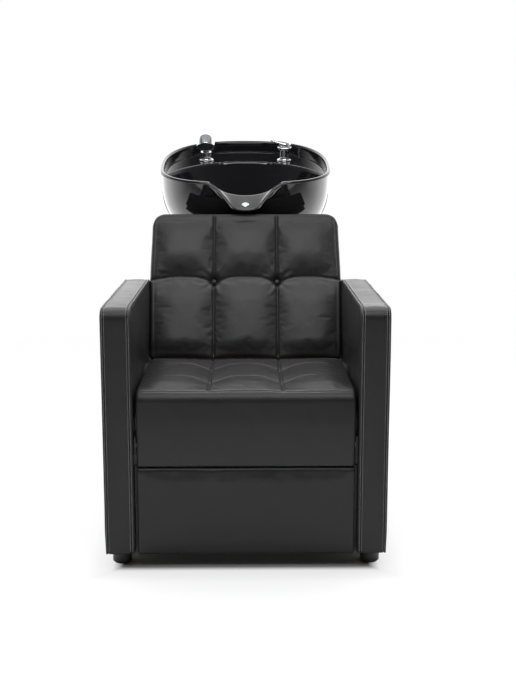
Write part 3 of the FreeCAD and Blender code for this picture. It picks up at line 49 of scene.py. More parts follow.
# ---- The photograph's camera and the white studio ----
# The camera stands 2.5 m in front of the arms at head height and looks slightly down. The floor and the air
# behind are white. Four soft lamps light the chair, from overhead, in front and both sides. Three white
# cards, overhead and at both sides, show in gloss alone.
ARM_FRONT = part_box("arm_cover_left")[0].y
CAMERA_AWAY, CAMERA_UP = 2.511, 1.012  # metres in front of the arms, and above the floor
LOOK_DOWN, LOOK_ASIDE = 10.41, -0.651  # degrees
CHAIR_HALF, CHAIR_REAR = 0.31, 0.52  # the chair's print on the floor: half its width, and where it ends
WHITE = (1, 1, 1, 1)
camera = bpy.data.objects.new("camera", bpy.data.cameras.new("camera"))
scene.collection.objects.link(camera)
camera.data.lens = 57.56
camera.location = (0.0, ARM_FRONT - CAMERA_AWAY, CAMERA_UP)
camera.rotation_euler = (math.radians(90 - LOOK_DOWN), 0.0, math.radians(LOOK_ASIDE))
scene.camera = camera


class Wire:
    """One output socket of a shader tree. Arithmetic on it adds Math nodes to that tree."""

    def __init__(self, tree, out=None):
        self.tree, self.out = tree, out

    def node(self, kind, sockets=None, output=0, stops=None, **settings):
        """Add a node: its settings and ramp stops first, then its sockets. Its chosen output comes back."""
        made = self.tree.nodes.new("ShaderNode" + kind)
        for name, value in settings.items():
            setattr(made, name, value)
        if stops:
            while len(made.color_ramp.elements) < len(stops):
                made.color_ramp.elements.new(0.5)
            for element, (place, colour) in zip(made.color_ramp.elements, stops):
                element.position, element.color = place, (*colour, 1.0)
        for name, value in (sockets or {}).items():
            if isinstance(value, Wire):
                self.tree.links.new(value.out, made.inputs[name])
            else:
                made.inputs[name].default_value = value
        return Wire(self.tree, made.outputs[output]) if made.outputs else made

    def math(self, operation, *others):
        return self.node("Math", dict(enumerate((self, *others))), operation=operation)

    def __add__(self, other):
        return self.math("ADD", other)

    def __mul__(self, other):
        return self.math("MULTIPLY", other)

    def __sub__(self, other):
        return self.math("SUBTRACT", other)

    def __rsub__(self, other):
        return self * -1 + other

    def tint(self, low, high):
        """A colour between two fixed ones, low where this is 0 and high where this is 1."""
        return self.node("ValToRGB", {"Fac": self}, stops=((0.0, low), (1.0, high)))

    def span(self, from_low, from_high, to_low, to_high):
        """This number moved from one range to another, held at its ends."""
        return self.node("MapRange", {0: self, 1: from_low, 2: from_high, 3: to_low, 4: to_high})

    def part(self, axis):
        """One component of this vector."""
        return self.node("SeparateXYZ", {0: self}, output=axis)

    def stretched(self, *scale):
        """These coordinates, each axis times its own number."""
        return self.node("Mapping", {"Vector": self, "Scale": scale})

    def noise(self, scale, detail=2.0, roughness=0.5, output=0):
        """Fractal noise at these coordinates."""
        sockets = {"Vector": self, "Scale": scale, "Detail": detail, "Roughness": roughness}
        return self.node("TexNoise", sockets, output)

    def bump(self, strength, distance, under=None):
        """A normal bent by this height, laid over another one where that is given."""
        laid_over = {"Normal": under} if under else {}
        return self.node("Bump", {"Height": self, "Strength": strength, "Distance": distance, **laid_over})


def blank_material(name):
    """A new material with an empty tree: (material, a Wire of its object's own coordinates)."""
    material = bpy.data.materials.new(name)
    material.use_nodes = True
    material.node_tree.nodes.clear()
    return material, Wire(material.node_tree).node("TexCoord", output="Object")


def finish(material, kind, sockets):
    """End the material's tree in one shader of this kind, on its surface."""
    root = Wire(material.node_tree)
    root.node("OutputMaterial", {"Surface": root.node(kind, sockets)})
    return material


def meshed(name, points, faces, material):
    """A new object in the scene, from points and faces, in one material."""
    mesh = bpy.data.meshes.new(name)
    mesh.from_pydata(points, [], faces)
    mesh.materials.append(material)
    made = bpy.data.objects.new(name, mesh)
    scene.collection.objects.link(made)
    return made


def lay_floor():
    """A wide flat floor. It is matt, with a shadow painted into its colour under the chair, and away from it fades to
    white for the camera.
    """
    material, place = blank_material("studio_floor")
    x, y = place.part("X").math("ABSOLUTE"), place.part("Y")
    clear = (x - CHAIR_HALF).math("MAXIMUM", ARM_FRONT - y).math("MAXIMUM", y - CHAIR_REAR)
    # Under the chair's print the matt colour falls to a dark grey: a painted shadow.
    painted_shadow = clear.span(-0.02, 0.08, 0.0, 1.0).tint((0.25,) * 3, (0.93, 0.93, 0.935))
    distance = place.node("VectorMath", {0: place}, output="Value", operation="LENGTH")
    seen = place.node("LightPath", output="Is Camera Ray")
    seen = seen * clear.span(-0.012, 0.012, 0.0, 1.0) * distance.span(0.7, 3.0, 0.72, 1.0)
    finish(material, "MixShader", {0: seen, 1: place.node("BsdfDiffuse", {"Color": painted_shadow}),
                                   2: place.node("Emission", {"Color": WHITE, "Strength": 1.0})})
    meshed("studio_floor", [(-9, -9, 0), (9, -9, 0), (9, 9, 0), (-9, 9, 0)], [(0, 1, 2, 3)], material)


def light_world():
    """White to the camera. To all else it is white behind the chair and falls to nearly dark in front, and is
    dimmer overhead than low down."""
    world = bpy.data.worlds.new("studio")
    scene.world = world
    world.use_nodes = True
    world.node_tree.nodes.clear()
    root = Wire(world.node_tree)
    way = root.node("TexCoord", output="Generated")
    greys = ((0.0, 0.02), (0.45, 0.09), (0.62, 0.5), (0.8, 1.0))
    behind = root.node("ValToRGB", {"Fac": way.part("Y").span(-1.0, 1.0, 0.0, 1.0)},
                       stops=[(depth, (grey,) * 3) for depth, grey in greys])
    dim = root.node("Background", {"Color": behind, "Strength": way.part("Z").span(0.50, 0.85, 1.9, 0.75)})
    white = root.node("Background", {"Color": WHITE, "Strength": 1.0})
    seen = root.node("MixShader", {0: root.node("LightPath", output="Is Camera Ray"), 1: dim, 2: white})
    root.node("OutputWorld", {"Surface": seen})


def hang_lamp(name, place, target, width, height, power, in_gloss=True):
    """A soft rectangular lamp that faces its target. The camera doesn't see it, and gloss may not."""
    lamp = bpy.data.objects.new(name, bpy.data.lights.new(name, "AREA"))
    scene.collection.objects.link(lamp)
    lamp.data.shape, lamp.data.size, lamp.data.size_y, lamp.data.energy = "RECTANGLE", width, height, power
    lamp.location = place
    facing = lamp.location.copy()
    facing.x, facing.y, facing.z = (t - p for t, p in zip(target, place))
    lamp.rotation_euler = facing.to_track_quat("-Z", "Y").to_euler()
    lamp.visible_camera, lamp.visible_glossy = False, in_gloss


def gloss_card(name, points, faces, glow):
    """A white card that only gloss shows. Glow makes its strength from the place on it."""
    material, place = blank_material(name)
    finish(material, "Emission", {"Color": WHITE, "Strength": glow(place)})
    card = meshed(name, points, faces, material)
    card.visible_camera = card.visible_diffuse = card.visible_shadow = card.visible_transmission = False


def side_glow(place):
    """Fades towards the camera and towards the card's top."""
    return place.part("Y").span(-1.3, 0.5, 0.0, 1.0) * place.part("Z").span(0.70, 1.22, 3.0, 0.0)


def stand_card(name, side):
    """A card beside the chair, bent up from the floor."""
    line = [(0.5, 0.02), (1.75, 0.02), (1.75, 1.3)]
    points = [(side * x, y, z) for y in (-1.2, 3.2) for x, z in line]
    gloss_card(name, points, [(0, 1, 4, 3), (1, 2, 5, 4)], side_glow)


def overhead_glow(place):
    """Bright to what lies far below the card, the seat and arms, and dimmer to the basin and taps near it."""
    steep = place.node("NewGeometry", output="Incoming").part("Z").math("ABSOLUTE")
    return (place.node("LightPath", output="Ray Length") * steep).span(1.50, 1.74, 0.38, 3.6)


lay_floor()
light_world()
stand_card("card_left", -1)
stand_card("card_right", 1)
gloss_card("card_top", [(-1.5, -0.65, 2.4), (1.5, -0.65, 2.4), (1.5, 0.85, 2.4), (-1.5, 0.85, 2.4)],
           [(3, 2, 1, 0)], overhead_glow)
hang_lamp("lamp_top", (0.0, 0.1, 2.4), (0.0, 0.1, 0.5), 3.0, 1.5, 54, False)
hang_lamp("lamp_left", (-2.4, 0.7, 1.5), (0.0, 0.0, 0.7), 1.6, 2.0, 24, False)
hang_lamp("lamp_right", (2.4, 0.7, 1.5), (0.0, 0.0, 0.7), 1.6, 2.0, 28, False)
hang_lamp("lamp_front", (0.0, -1.95, 3.0), (0.0, 0.0, 0.6), 2.6, 1.1, 48)


# ---- Arms ----
# Padded arm panels of timber and foam in black leatherette. One long strip runs up the front, over the
# top and down the back between two side panels, and is sewn to each with a raised, topstitched seam.
def coated(material, colour, rough, normal, **others):
    """End a material in a Principled shader. Other sockets are named with _ in place of a space."""
    sockets = {"Base Color": colour, "Roughness": rough, "Normal": normal}
    return finish(material, "BsdfPrincipled", sockets | {name.replace("_", " "): n for name, n in others.items()})


def leatherette():
    """Black leatherette: pebbled grain and fine creases, dulled where it is worn, and a little greyer there: partly
    worn, partly a painted highlight.
    """
    material, place = blank_material("black_leatherette")
    sway = place.node("VectorMath", {0: place.noise(60.0, output="Color"), 3: 0.004}, operation="SCALE")
    bent = place.node("VectorMath", {0: place, 1: sway}, operation="ADD")
    pebble = place.node("TexVoronoi", {"Vector": bent, "Scale": 720.0}, output="Distance",
                        feature="DISTANCE_TO_EDGE")
    cells, cloudy = pebble.span(0.0, 0.12, 0.0, 1.0), place.noise(7.0, 3.0)
    rubbed_and_sheen = place.node("Attribute", output="Fac", attribute_name="rubbed_and_sheen")
    lift = (cells * 0.7 + place.noise(1500.0) * 0.3).bump(0.22, 0.0004)
    # Marked ridges and edges get a lighter colour: partly worn leather, partly a painted highlight.
    colour = (cloudy * 0.45 + cells * 0.25 + rubbed_and_sheen * 0.3).tint((0.0078, 0.0078, 0.0084), (0.021, 0.021, 0.0223))
    rough = cloudy.span(0.3, 0.7, 0.36, 0.45) + rubbed_and_sheen * 0.06 + (1 - cells) * 0.05
    return coated(material, colour, rough, place.noise(38.0, 3.0, 0.55).bump(0.10, 0.006, lift),
                  Coat_Weight=0.25, Coat_Roughness=0.32, Coat_IOR=1.35, Specular_IOR_Level=0.25)


def spun_thread():
    """Bonded black thread: fine twist lines, coloured light grey as a painted sheen."""
    material, place = blank_material("thread_painted_sheen")
    fibre = place.noise(2600.0)
    # The light grey stands in for the light that black thread catches: a painted sheen.
    return coated(material, fibre.tint((0.20, 0.20, 0.205), (0.38, 0.38, 0.385)), 0.5, fibre.bump(0.4, 0.0002))


def skin(name, grid, material, body, rubbed_and_sheen=None, hollow=False):
    """A smooth mesh on a grid of rings by steps, or on many alike grids. Each ring is closed. The end rings
    are capped, or, on a hollow piece, joined to each other."""
    rings, steps = grid.shape[-3:-1]
    index = np.arange(rings * steps).reshape(rings, steps)
    base, following = (index, np.roll(index, -1, axis=0)) if hollow else (index[:-1], index[1:])
    quads = np.stack([base, np.roll(base, -1, 1), np.roll(following, -1, 1), following], axis=-1)
    first = np.arange(0, grid.size // 3, rings * steps)[:, None, None]
    faces = (quads.reshape(-1, 4) + first).reshape(-1, 4).tolist()
    for cap in () if hollow else (index[0, ::-1], index[-1]):
        faces += (cap + first).reshape(-1, steps).tolist()
    piece = meshed(name, grid.reshape(-1, 3).tolist(), faces, material)
    mesh = piece.data
    # This mark lightens leatherette: partly worn leather, partly a painted highlight.
    if rubbed_and_sheen is not None:
        mesh.attributes.new("rubbed_and_sheen", "FLOAT", "POINT").data.foreach_set("value", rubbed_and_sheen.ravel())
    shell = bmesh.new()
    shell.from_mesh(mesh)
    bmesh.ops.recalc_face_normals(shell, faces=shell.faces)
    shell.to_mesh(mesh)
    shell.free()
    mesh.polygons.foreach_set("use_smooth", np.ones(len(mesh.polygons), bool))
    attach(piece, body)
    return piece


def upholster(name, grid, rubbed_and_sheen=None):
    """A leatherette cover of the chair."""
    return skin(name, grid, black_leatherette, "chair", rubbed_and_sheen)


def repeated(name, shape, places, frames, material, body):
    """Many copies of one small closed grid, each turned by its own three axes and moved to its place."""
    points = np.einsum("vi,nij->nvj", shape.reshape(-1, 3), frames) + places[:, None]
    skin(name, points.reshape(-1, *shape.shape), material, body)


STITCH_PITCH, STITCH_HALF, THREAD_RADIUS = 0.0046, 0.00185, 0.00055


def sew(name, line, normal):
    """A row of stitches: short round threads laid end to end along a line, each half sunk where it enters."""
    length = np.concatenate([[0.0], np.cumsum(np.linalg.norm(np.diff(line, axis=0), axis=1))])
    stops = np.arange(STITCH_PITCH, length[-1] - STITCH_PITCH, STITCH_PITCH)
    place, out = (np.stack([np.interp(stops, length, column) for column in table.T], axis=-1)
                  for table in (line, normal))
    out /= np.linalg.norm(out, axis=1, keepdims=True)
    ahead = np.gradient(place, axis=0)
    ahead -= out * (ahead * out).sum(axis=1, keepdims=True)
    ahead /= np.linalg.norm(ahead, axis=1, keepdims=True)
    share, angle = np.linspace(-1, 1, 5)[:, None], np.linspace(0, 2 * math.pi, 6, endpoint=False)
    fat = THREAD_RADIUS * np.sqrt(1.02 - share ** 2)
    sunk = 0.00022 - 0.0004 * share ** 2
    thread = np.stack([np.repeat(share * STITCH_HALF, 6, 1), fat * np.cos(angle), fat * np.sin(angle) + sunk], axis=-1)
    repeated(name, thread, place, np.stack([ahead, np.cross(out, ahead), out], axis=1), thread_painted_sheen, "chair")


def smooth_step(x, low, high):
    """0 below low, 1 above high, and an even S-curve between."""
    t = np.clip((x - low) / (high - low), 0, 1)
    return t * t * (3 - 2 * t)


def bump_at(x, centre, width):
    """A bell curve of height 1 at centre."""
    return np.exp(-((x - centre) / width) ** 2)


def waves(points, length, seed):
    """Soft uneven hills between about -1 and 1: six sine waves that cross at odd angles."""
    random = np.random.default_rng(seed)
    total = np.zeros(points.shape[:-1])
    for _ in range(6):
        way = random.normal(size=3)
        way *= 2 * math.pi / (length * random.uniform(0.7, 1.5) * np.linalg.norm(way))
        total += np.sin(points @ way + random.uniform(0, 6.3))
    return total / 3.2


def rounded_loop(corners, radii, counts, inset=0.0, bend=8):
    """Points and outward normals round a convex outline whose corners are arcs, drawn in by an inset.
    Each corner gets bend points and each side its own count, so loops of any inset match. The arcs open
    again on deep insets, so that no points crowd on the diagonals."""
    corners = np.array(corners, float)
    before, after = np.roll(corners, 1, axis=0), np.roll(corners, -1, axis=0)
    centre = corners.mean(axis=0)
    reach = np.abs(corners - centre).min()
    places, normals = [], []
    for corner, previous, following, radius, count in zip(corners, before, after, radii, counts):
        into, out = corner - previous, following - corner
        into, out = into / np.linalg.norm(into), out / np.linalg.norm(out)
        side_in, side_out = np.array([into[1], -into[0]]), np.array([out[1], -out[0]])
        if side_in @ (corner - centre) < 0:
            side_in, side_out = -side_in, -side_out
        left = max(radius - inset, 0.0004, min((inset - radius) * 0.5, (reach - inset) * 0.8))
        middle = corner - (side_in + side_out) / (1 + side_in @ side_out) * (inset + left)
        turn = np.linspace(0, 1, bend)[:, None]
        arc = (1 - turn) * side_in + turn * side_out
        arc /= np.linalg.norm(arc, axis=1, keepdims=True)
        places += [middle + arc * left, np.zeros((count, 2))]
        normals += [arc, np.repeat(side_out[None], count, axis=0)]
    for number, count in enumerate(counts):
        first, last = places[2 * number][-1], places[(2 * number + 2) % len(places)][0]
        share = np.linspace(0, 1, count + 2)[1:-1, None]
        places[2 * number + 1] = first + (last - first) * share
    return np.concatenate(places), np.concatenate(normals)


EDGE_ROLL = 0.0065  # radius of the padding's edge beside the strip
WELT, GROOVE, STITCHED = 0.0045, 0.0085, (0.0062, 0.0112)  # distances of the seam's parts from the edge


def make_arm(name, side):
    """One arm's cover. Its cross-profile runs from the middle of one side panel, over the sewn edges and
    the strip, to the middle of the other, and is carried round the side outline by drawing that in."""
    low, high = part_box(f"arm_cover_{name}")
    inner, outer = (low.x, high.x) if side > 0 else (high.x, low.x)
    thick = abs(outer - inner)
    corners = [(low.y, low.z), (low.y, high.z), (high.y, high.z), (high.y, low.z)]
    radii = [0.006, 0.030, 0.036, 0.006]
    deep = np.concatenate([np.linspace(0.27, 0.05, 20), np.linspace(0.04, EDGE_ROLL + 0.003, 7)])
    turn = np.linspace(0, math.pi / 2, 7)
    strip = np.concatenate([np.linspace(EDGE_ROLL + 0.001, 0.016, 10), np.linspace(0.019, thick / 2, 5)])
    half_inset = np.concatenate([deep, EDGE_ROLL * (1 - np.sin(turn)), np.zeros(len(strip))])
    half_across = np.concatenate([np.zeros(len(deep)), EDGE_ROLL * (1 - np.cos(turn)), strip])
    inset = np.concatenate([half_inset, half_inset[-2::-1]])
    across = np.concatenate([half_across, thick - half_across[-2::-1]])
    on_strip = smooth_step(EDGE_ROLL - inset, 0.0, EDGE_ROLL)
    face = np.where(across < thick / 2, -1.0, 1.0) * (1 - on_strip)
    rings, wear_and_sheen = [], []
    for drawn, x, flat, way in zip(inset, across, on_strip, face):
        loop, normal = rounded_loop(corners, radii, (66, 62, 66, 62), drawn, 9)
        from_edge = min(x, thick - x)
        puff = 0.0012 * smooth_step(np.array(from_edge), 0.010, 0.030) * flat
        seam = (0.0009 * bump_at(from_edge, WELT, 0.002) - 0.0023 * bump_at(from_edge, GROOVE, 0.0012)) * flat
        panel = 0.0018 * smooth_step(np.array(drawn), 0.008, 0.05)
        outer_pull, drawn_in = (0.0055, 0.0022) if way > 0 else (0.0, 0.0006)
        point = np.stack([np.full(len(loop), inner + side * x), loop[:, 0], loop[:, 1]], axis=-1)
        pull = outer_pull * (1 - smooth_step(point[:, 2], low.z, low.z + 0.06))
        uneven = 0.0007 * waves(point, 0.16, 3) + 0.00035 * waves(point, 0.05, 5)
        pucker = 0.00045 * np.sin(np.cumsum(np.hypot(*np.gradient(loop, axis=0).T)) / 0.0021)
        pucker = pucker * bump_at(from_edge, GROOVE, 0.004) * flat
        point[:, 0] += side * way * ((panel - drawn_in + uneven) * (1 - flat) - pull)
        point[:, 1:] += normal * (puff + seam + uneven * flat + pucker - 0.0012)[:, None]
        rings.append(point)
        # The welt's ridge is marked lighter: partly worn leather, partly a painted highlight.
        wear_and_sheen.append(np.full(len(loop), bump_at(from_edge, WELT, 0.003) * flat))
    out = np.concatenate([np.zeros((len(normal), 1)), normal], axis=1)
    for number, row in enumerate((*STITCHED, *(thick - row for row in STITCHED[::-1]))):
        line = rings[int(np.abs(across - row).argmin())].copy()
        line[:, 0] = inner + side * row
        path = np.flatnonzero(line[:, 2] > low.z + 0.004)
        if (np.diff(path) > 1).any():
            path = np.roll(path, -int(np.argmax(np.diff(path))) - 1)
        sew(f"arm_stitches_{name}_{number + 1}", line[path], out[path])
    cover = upholster(f"arm_padding_{name}", np.array(rings), np.array(wear_and_sheen))
    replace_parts(cover, f"arm_cover_{name}")


black_leatherette = leatherette()
thread_painted_sheen = spun_thread()
for arm_name, arm_side in (("left", -1), ("right", 1)):
    make_arm(arm_name, arm_side)


# ---- Seat ----
# A foam seat in leatherette, sewn down along two channels with two pulled points on each. Its top is
# joined to the deep front band by a twin-stitched seam.
CHANNEL = 0.088  # how far the sewn channels lie from the middle, on the seat and on the back
SEAT_DEPTH, SEAT_ROLL, SEAT_BAND = 0.404, 0.027, 0.184
seat_low, seat_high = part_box("seat_cushion")
SEAT_TOP = seat_high.z - 0.013
SEAT_UNDER = SEAT_TOP - 0.096
SEAT_POINTS = [(side * CHANNEL, seat_low.y + share * SEAT_DEPTH) for share in (0.30, 0.68) for side in (-1, 1)]


def spaced(places, step):
    """Numbers from the first place to the last, evenly spread between neighbours at about the step."""
    runs = [np.linspace(a, b, max(int(round((b - a) / s)), 1), endpoint=False)
            for a, b, s in zip(places[:-1], places[1:], step)]
    return np.concatenate(runs + [np.array([places[-1]])])


def about_channel(end, coarse, fine):
    """X places from the middle to the end, closer together beside the sewn channel."""
    return spaced([0.0, CHANNEL - 0.014, CHANNEL, CHANNEL + 0.014, end], (coarse, fine, fine, coarse))


def sweep_across(inner, half, loop, normal, radius, count=6):
    """A profile loop in depth and height carried along X, through the inner places and round a quarter round
    that draws it in at both ends."""
    rounding = half - radius + radius * np.cos(np.linspace(0.0, math.pi / 2, count))
    right = np.concatenate([inner, rounding[::-1]])
    xs = np.concatenate([-right[:0:-1], right])
    over = np.clip(np.abs(xs) - (xs.max() - radius), 0, radius)
    inset = radius - np.sqrt(radius ** 2 - over ** 2)
    points = loop[None] - normal[None] * inset[:, None, None]
    return np.concatenate([np.broadcast_to(xs[:, None, None], points.shape[:2] + (1,)), points], axis=-1)


def swell(piece, sewn, pressure, slack, cap):
    """Blow the cover up as cloth held where it is sewn down, and keep each point within cap of its place."""
    mesh = piece.data
    start, final = np.empty((2, len(mesh.vertices) * 3))
    mesh.vertices.foreach_get("co", start)
    piece.vertex_groups.new(name="sewn").add(np.flatnonzero(sewn).tolist(), 1.0, "REPLACE")
    cloth = piece.modifiers.new("cloth", "CLOTH")
    settings = {"quality": 6, "mass": 0.25, "tension_stiffness": 22, "compression_stiffness": 22,
                "shear_stiffness": 8, "bending_stiffness": 0.35, "vertex_group_mass": "sewn",
                "use_pressure": True, "uniform_pressure_force": pressure, "shrink_min": -slack}
    for setting, value in settings.items():
        setattr(cloth.settings, setting, value)
    cloth.settings.effector_weights.gravity = 0
    cloth.collision_settings.use_collision = False
    cloth.point_cache.frame_start, cloth.point_cache.frame_end = 1, 20
    for moment in range(1, 21):
        scene.frame_set(moment)
    swollen = piece.evaluated_get(bpy.context.evaluated_depsgraph_get())
    swollen.data.vertices.foreach_get("co", final)
    move = (final - start).reshape(-1, 3)
    move *= np.minimum(1, cap / np.maximum(np.linalg.norm(move, axis=1, keepdims=True), 1e-9))
    piece.modifiers.remove(cloth)
    piece.vertex_groups.clear()
    scene.frame_set(1)
    mesh.vertices.foreach_set("co", start + move.ravel())
    mesh.update()


def soften(piece):
    """Finish a padded piece with a Subdivision Surface."""
    smoothed = piece.modifiers.new("smooth", "SUBSURF")
    smoothed.levels = smoothed.render_levels = 1


def outward(line):
    """Unit normals in its plane of a closed line that runs anticlockwise."""
    ahead = np.roll(line, -1, axis=0) - np.roll(line, 1, axis=0)
    normal = np.stack([ahead[:, 1], -ahead[:, 0]], axis=-1)
    return normal / np.linalg.norm(normal, axis=1, keepdims=True)


def run_of(depths, heights):
    """Points in depth and height from rows of numbers, either of which may be one number."""
    return np.stack(np.broadcast_arrays(depths, heights), axis=-1)


def seat_profile():
    """The seat's side outline: over the top, down the front band, under its hem and back along the base."""
    front, rear, top, hem = seat_low.y, seat_high.y, SEAT_TOP, seat_low.z
    roll, hem_roll = np.linspace(0, math.pi / 2, 27)[1:], np.linspace(0, math.pi / 2, 4)[1:]
    tucked = front + 0.0195
    return np.concatenate([
        run_of(np.linspace(rear - 0.012, front + 0.05, 88), top),
        run_of(np.linspace(front + 0.046, front + SEAT_ROLL, 9), top),
        run_of(front + SEAT_ROLL * (1 - np.sin(roll)), top - SEAT_ROLL * (1 - np.cos(roll))),
        run_of(front, np.linspace(top - SEAT_ROLL - 0.003, top - 0.046, 5)),
        run_of(front, np.linspace(top - 0.053, hem + 0.006, 18)),
        run_of(front + 0.006 - 0.006 * np.cos(hem_roll), hem + 0.006 - 0.006 * np.sin(hem_roll)),
        [(tucked, hem), (tucked, hem + 0.04), (tucked, SEAT_UNDER - 0.001), (front + 0.06, SEAT_UNDER - 0.0005)],
        run_of(np.linspace(front + 0.1, rear - 0.008, 18), SEAT_UNDER),
        run_of(rear, np.linspace(SEAT_UNDER + 0.01, top - 0.014, 6))])


def make_seat():
    """The seat's cover: the profile carried across, crowned between its channels, then blown up as cloth."""
    half = (seat_high.x - seat_low.x) / 2 + 0.003
    loop = seat_profile()
    normal = outward(loop)
    grid = sweep_across(about_channel(half - 0.014, 0.0085, 0.0028), half, loop, normal, 0.008)
    x, y, z = grid[..., 0], grid[..., 1], grid[..., 2]
    wide = np.abs(x)
    beside = np.abs(wide - CHANNEL)
    up = np.clip(normal[:, 1], 0, 1)[None] ** 2 * (z > SEAT_TOP - SEAT_ROLL - 0.002)
    ahead = np.clip(-normal[:, 0], 0, 1)[None] ** 2 * (y < seat_low.y + SEAT_ROLL + 0.002)
    depth = np.clip((y - seat_low.y) / SEAT_DEPTH, 0, 1)
    crown = 0.0085 * smooth_step(np.minimum(beside, half - wide), -0.002, 0.062) * smooth_step(depth, 0.0, 0.18)
    crown *= 1 - 0.8 * smooth_step(depth, 0.70, 1.0)
    groove = 0.0050 * bump_at(wide, CHANNEL, 0.0030) * smooth_step(y, seat_low.y + 0.004, seat_low.y + 0.03)
    rows = np.zeros_like(x)
    for spot_x, spot_y in SEAT_POINTS:
        rows += 0.0130 * np.exp(-np.hypot(x - spot_x, (y - spot_y) * 1.15) / 0.018)
        for way, share in ((-1, 1.0), (1, 0.55)):
            run = (x - spot_x) * way
            line = spot_y + 0.016 * smooth_step(run, 0.0, 0.055) - 0.006 * smooth_step(run, 0.05, 0.12)
            reach = share * smooth_step(run, -0.002, 0.006) * np.exp(-(np.maximum(run, 0) / 0.062) ** 2)
            rows += reach * (0.0078 * bump_at(y, line, 0.0038) - 0.0046 * bump_at(y, line - 0.011, 0.0080))
    lift = up * (crown - groove - rows)
    seam = -0.0012 * bump_at(y, seat_low.y + SEAT_ROLL * 0.55, 0.0013) * (up > 0.05)
    band = ahead * 0.0055 * np.sin(np.pi * np.clip((z - seat_low.z) / SEAT_BAND, 0, 1)) ** 0.8
    uneven = 0.0009 * waves(grid, 0.13, 11) + 0.0004 * waves(grid, 0.045, 12)
    grid[..., 2] += lift + seam + up * uneven
    grid[..., 1] -= band + ahead * (uneven * 0.5 - 0.002)
    for number, share in enumerate((0.44, 0.66)):
        at = int(np.abs(loop[:122, 0] - (seat_low.y + SEAT_ROLL * share)).argmin())
        out = np.array([0.0, *normal[at]])
        line = (grid[:, at] + out * 0.0002)[6:-6]
        sew(f"seat_stitches_{number + 1}", line, np.tile(out, (len(line), 1)))
    # The front edge and the ridges beside the channels are marked lighter: partly worn leather, partly a painted
    # highlight.
    wear_and_sheen = np.clip(bump_at(y, seat_low.y + 0.006, 0.004) * up + 0.4 * bump_at(beside, 0.009, 0.004) * up, 0, 1)
    cushion = upholster("seat_padding", grid, wear_and_sheen)
    free = (up > 0.2) & (half - wide > 0.010) & (beside > 0.0035)
    free &= (y > seat_low.y + SEAT_ROLL + 0.003) & (depth < 0.96)
    for spot_x, spot_y in SEAT_POINTS:
        free &= np.hypot(x - spot_x, y - spot_y) > 0.007
    swell(cushion, ~free.ravel(), 1.2, 0.006, 0.004)
    soften(cushion)
    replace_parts(cushion, "seat_cushion")


make_seat()


# ---- Lower front panel ----
# A board under the seat, padded with thin foam and covered in leatherette that is stapled behind it. The
# cover draws in at the edges and wrinkles a little along the top.
def make_panel():
    """The panel's cover: a rounded profile carried across, puffed at its middle and tucked along its top."""
    low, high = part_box("front_panel_cover")
    half = (high.x - low.x) / 2 + 0.003
    loop, normal = rounded_loop([(low.y, low.z), (low.y, high.z), (high.y, high.z), (high.y, low.z)],
                                (0.008, 0.010, 0.002, 0.002), (46, 5, 16, 5))
    grid = sweep_across(spaced([0.0, half - 0.009], (0.008,)), half, loop, normal, 0.004)
    x, z = grid[..., 0], grid[..., 2]
    ahead = np.clip(-normal[:, 0], 0, 1)[None] ** 2
    from_edge = np.minimum(np.minimum(high.z - z, z - low.z), half - np.abs(x))
    puff = 0.003 * smooth_step(from_edge, 0.0, 0.035)
    tucks = 0.0011 * waves(grid * [1.0, 1.0, 0.25], 0.03, 21) * bump_at(z, high.z - 0.018, 0.016)
    uneven = 0.0012 * waves(grid, 0.22, 22) + 0.0004 * waves(grid, 0.06, 23)
    grid[..., 1] -= ahead * (puff + tucks + uneven - 0.002)
    cover = upholster("front_panel_padding", grid)
    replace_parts(cover, "front_panel_cover")


make_panel()


# ---- Backrest ----
# A leaning foam back in leatherette over a board. Two upright channels and one across are sewn down to
# the board, and a covered button is pulled deep into the foam at each crossing.
LEAN = math.radians(26.6)
back_low, back_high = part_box("back_cushion")
BACK_LENGTH, BACK_THICK = 0.422, 0.071
BACK_ROW = 0.222  # how far up the back the buttons lie


def lean(points):
    """Points drawn flat, as (across, up the back, out of its front), put in their leaning place."""
    across, up, out = np.moveaxis(points, -1, 0)
    depth = back_high.y - math.sin(LEAN) * BACK_LENGTH + math.sin(LEAN) * up - math.cos(LEAN) * out
    return np.stack([across, depth, back_low.z + math.cos(LEAN) * up + math.sin(LEAN) * out], axis=-1)


def round_shoulders(grid, half, radius, reach, start, crest):
    """Draw the upper corners of a flat grid in by an arc, from nothing at the start to all of it at the crest."""
    over = np.clip(np.abs(grid[..., 0]) - (half - radius), 0, reach)
    grid[..., 1] -= (radius - np.sqrt(radius ** 2 - over ** 2)) * smooth_step(grid[..., 1], start, crest)


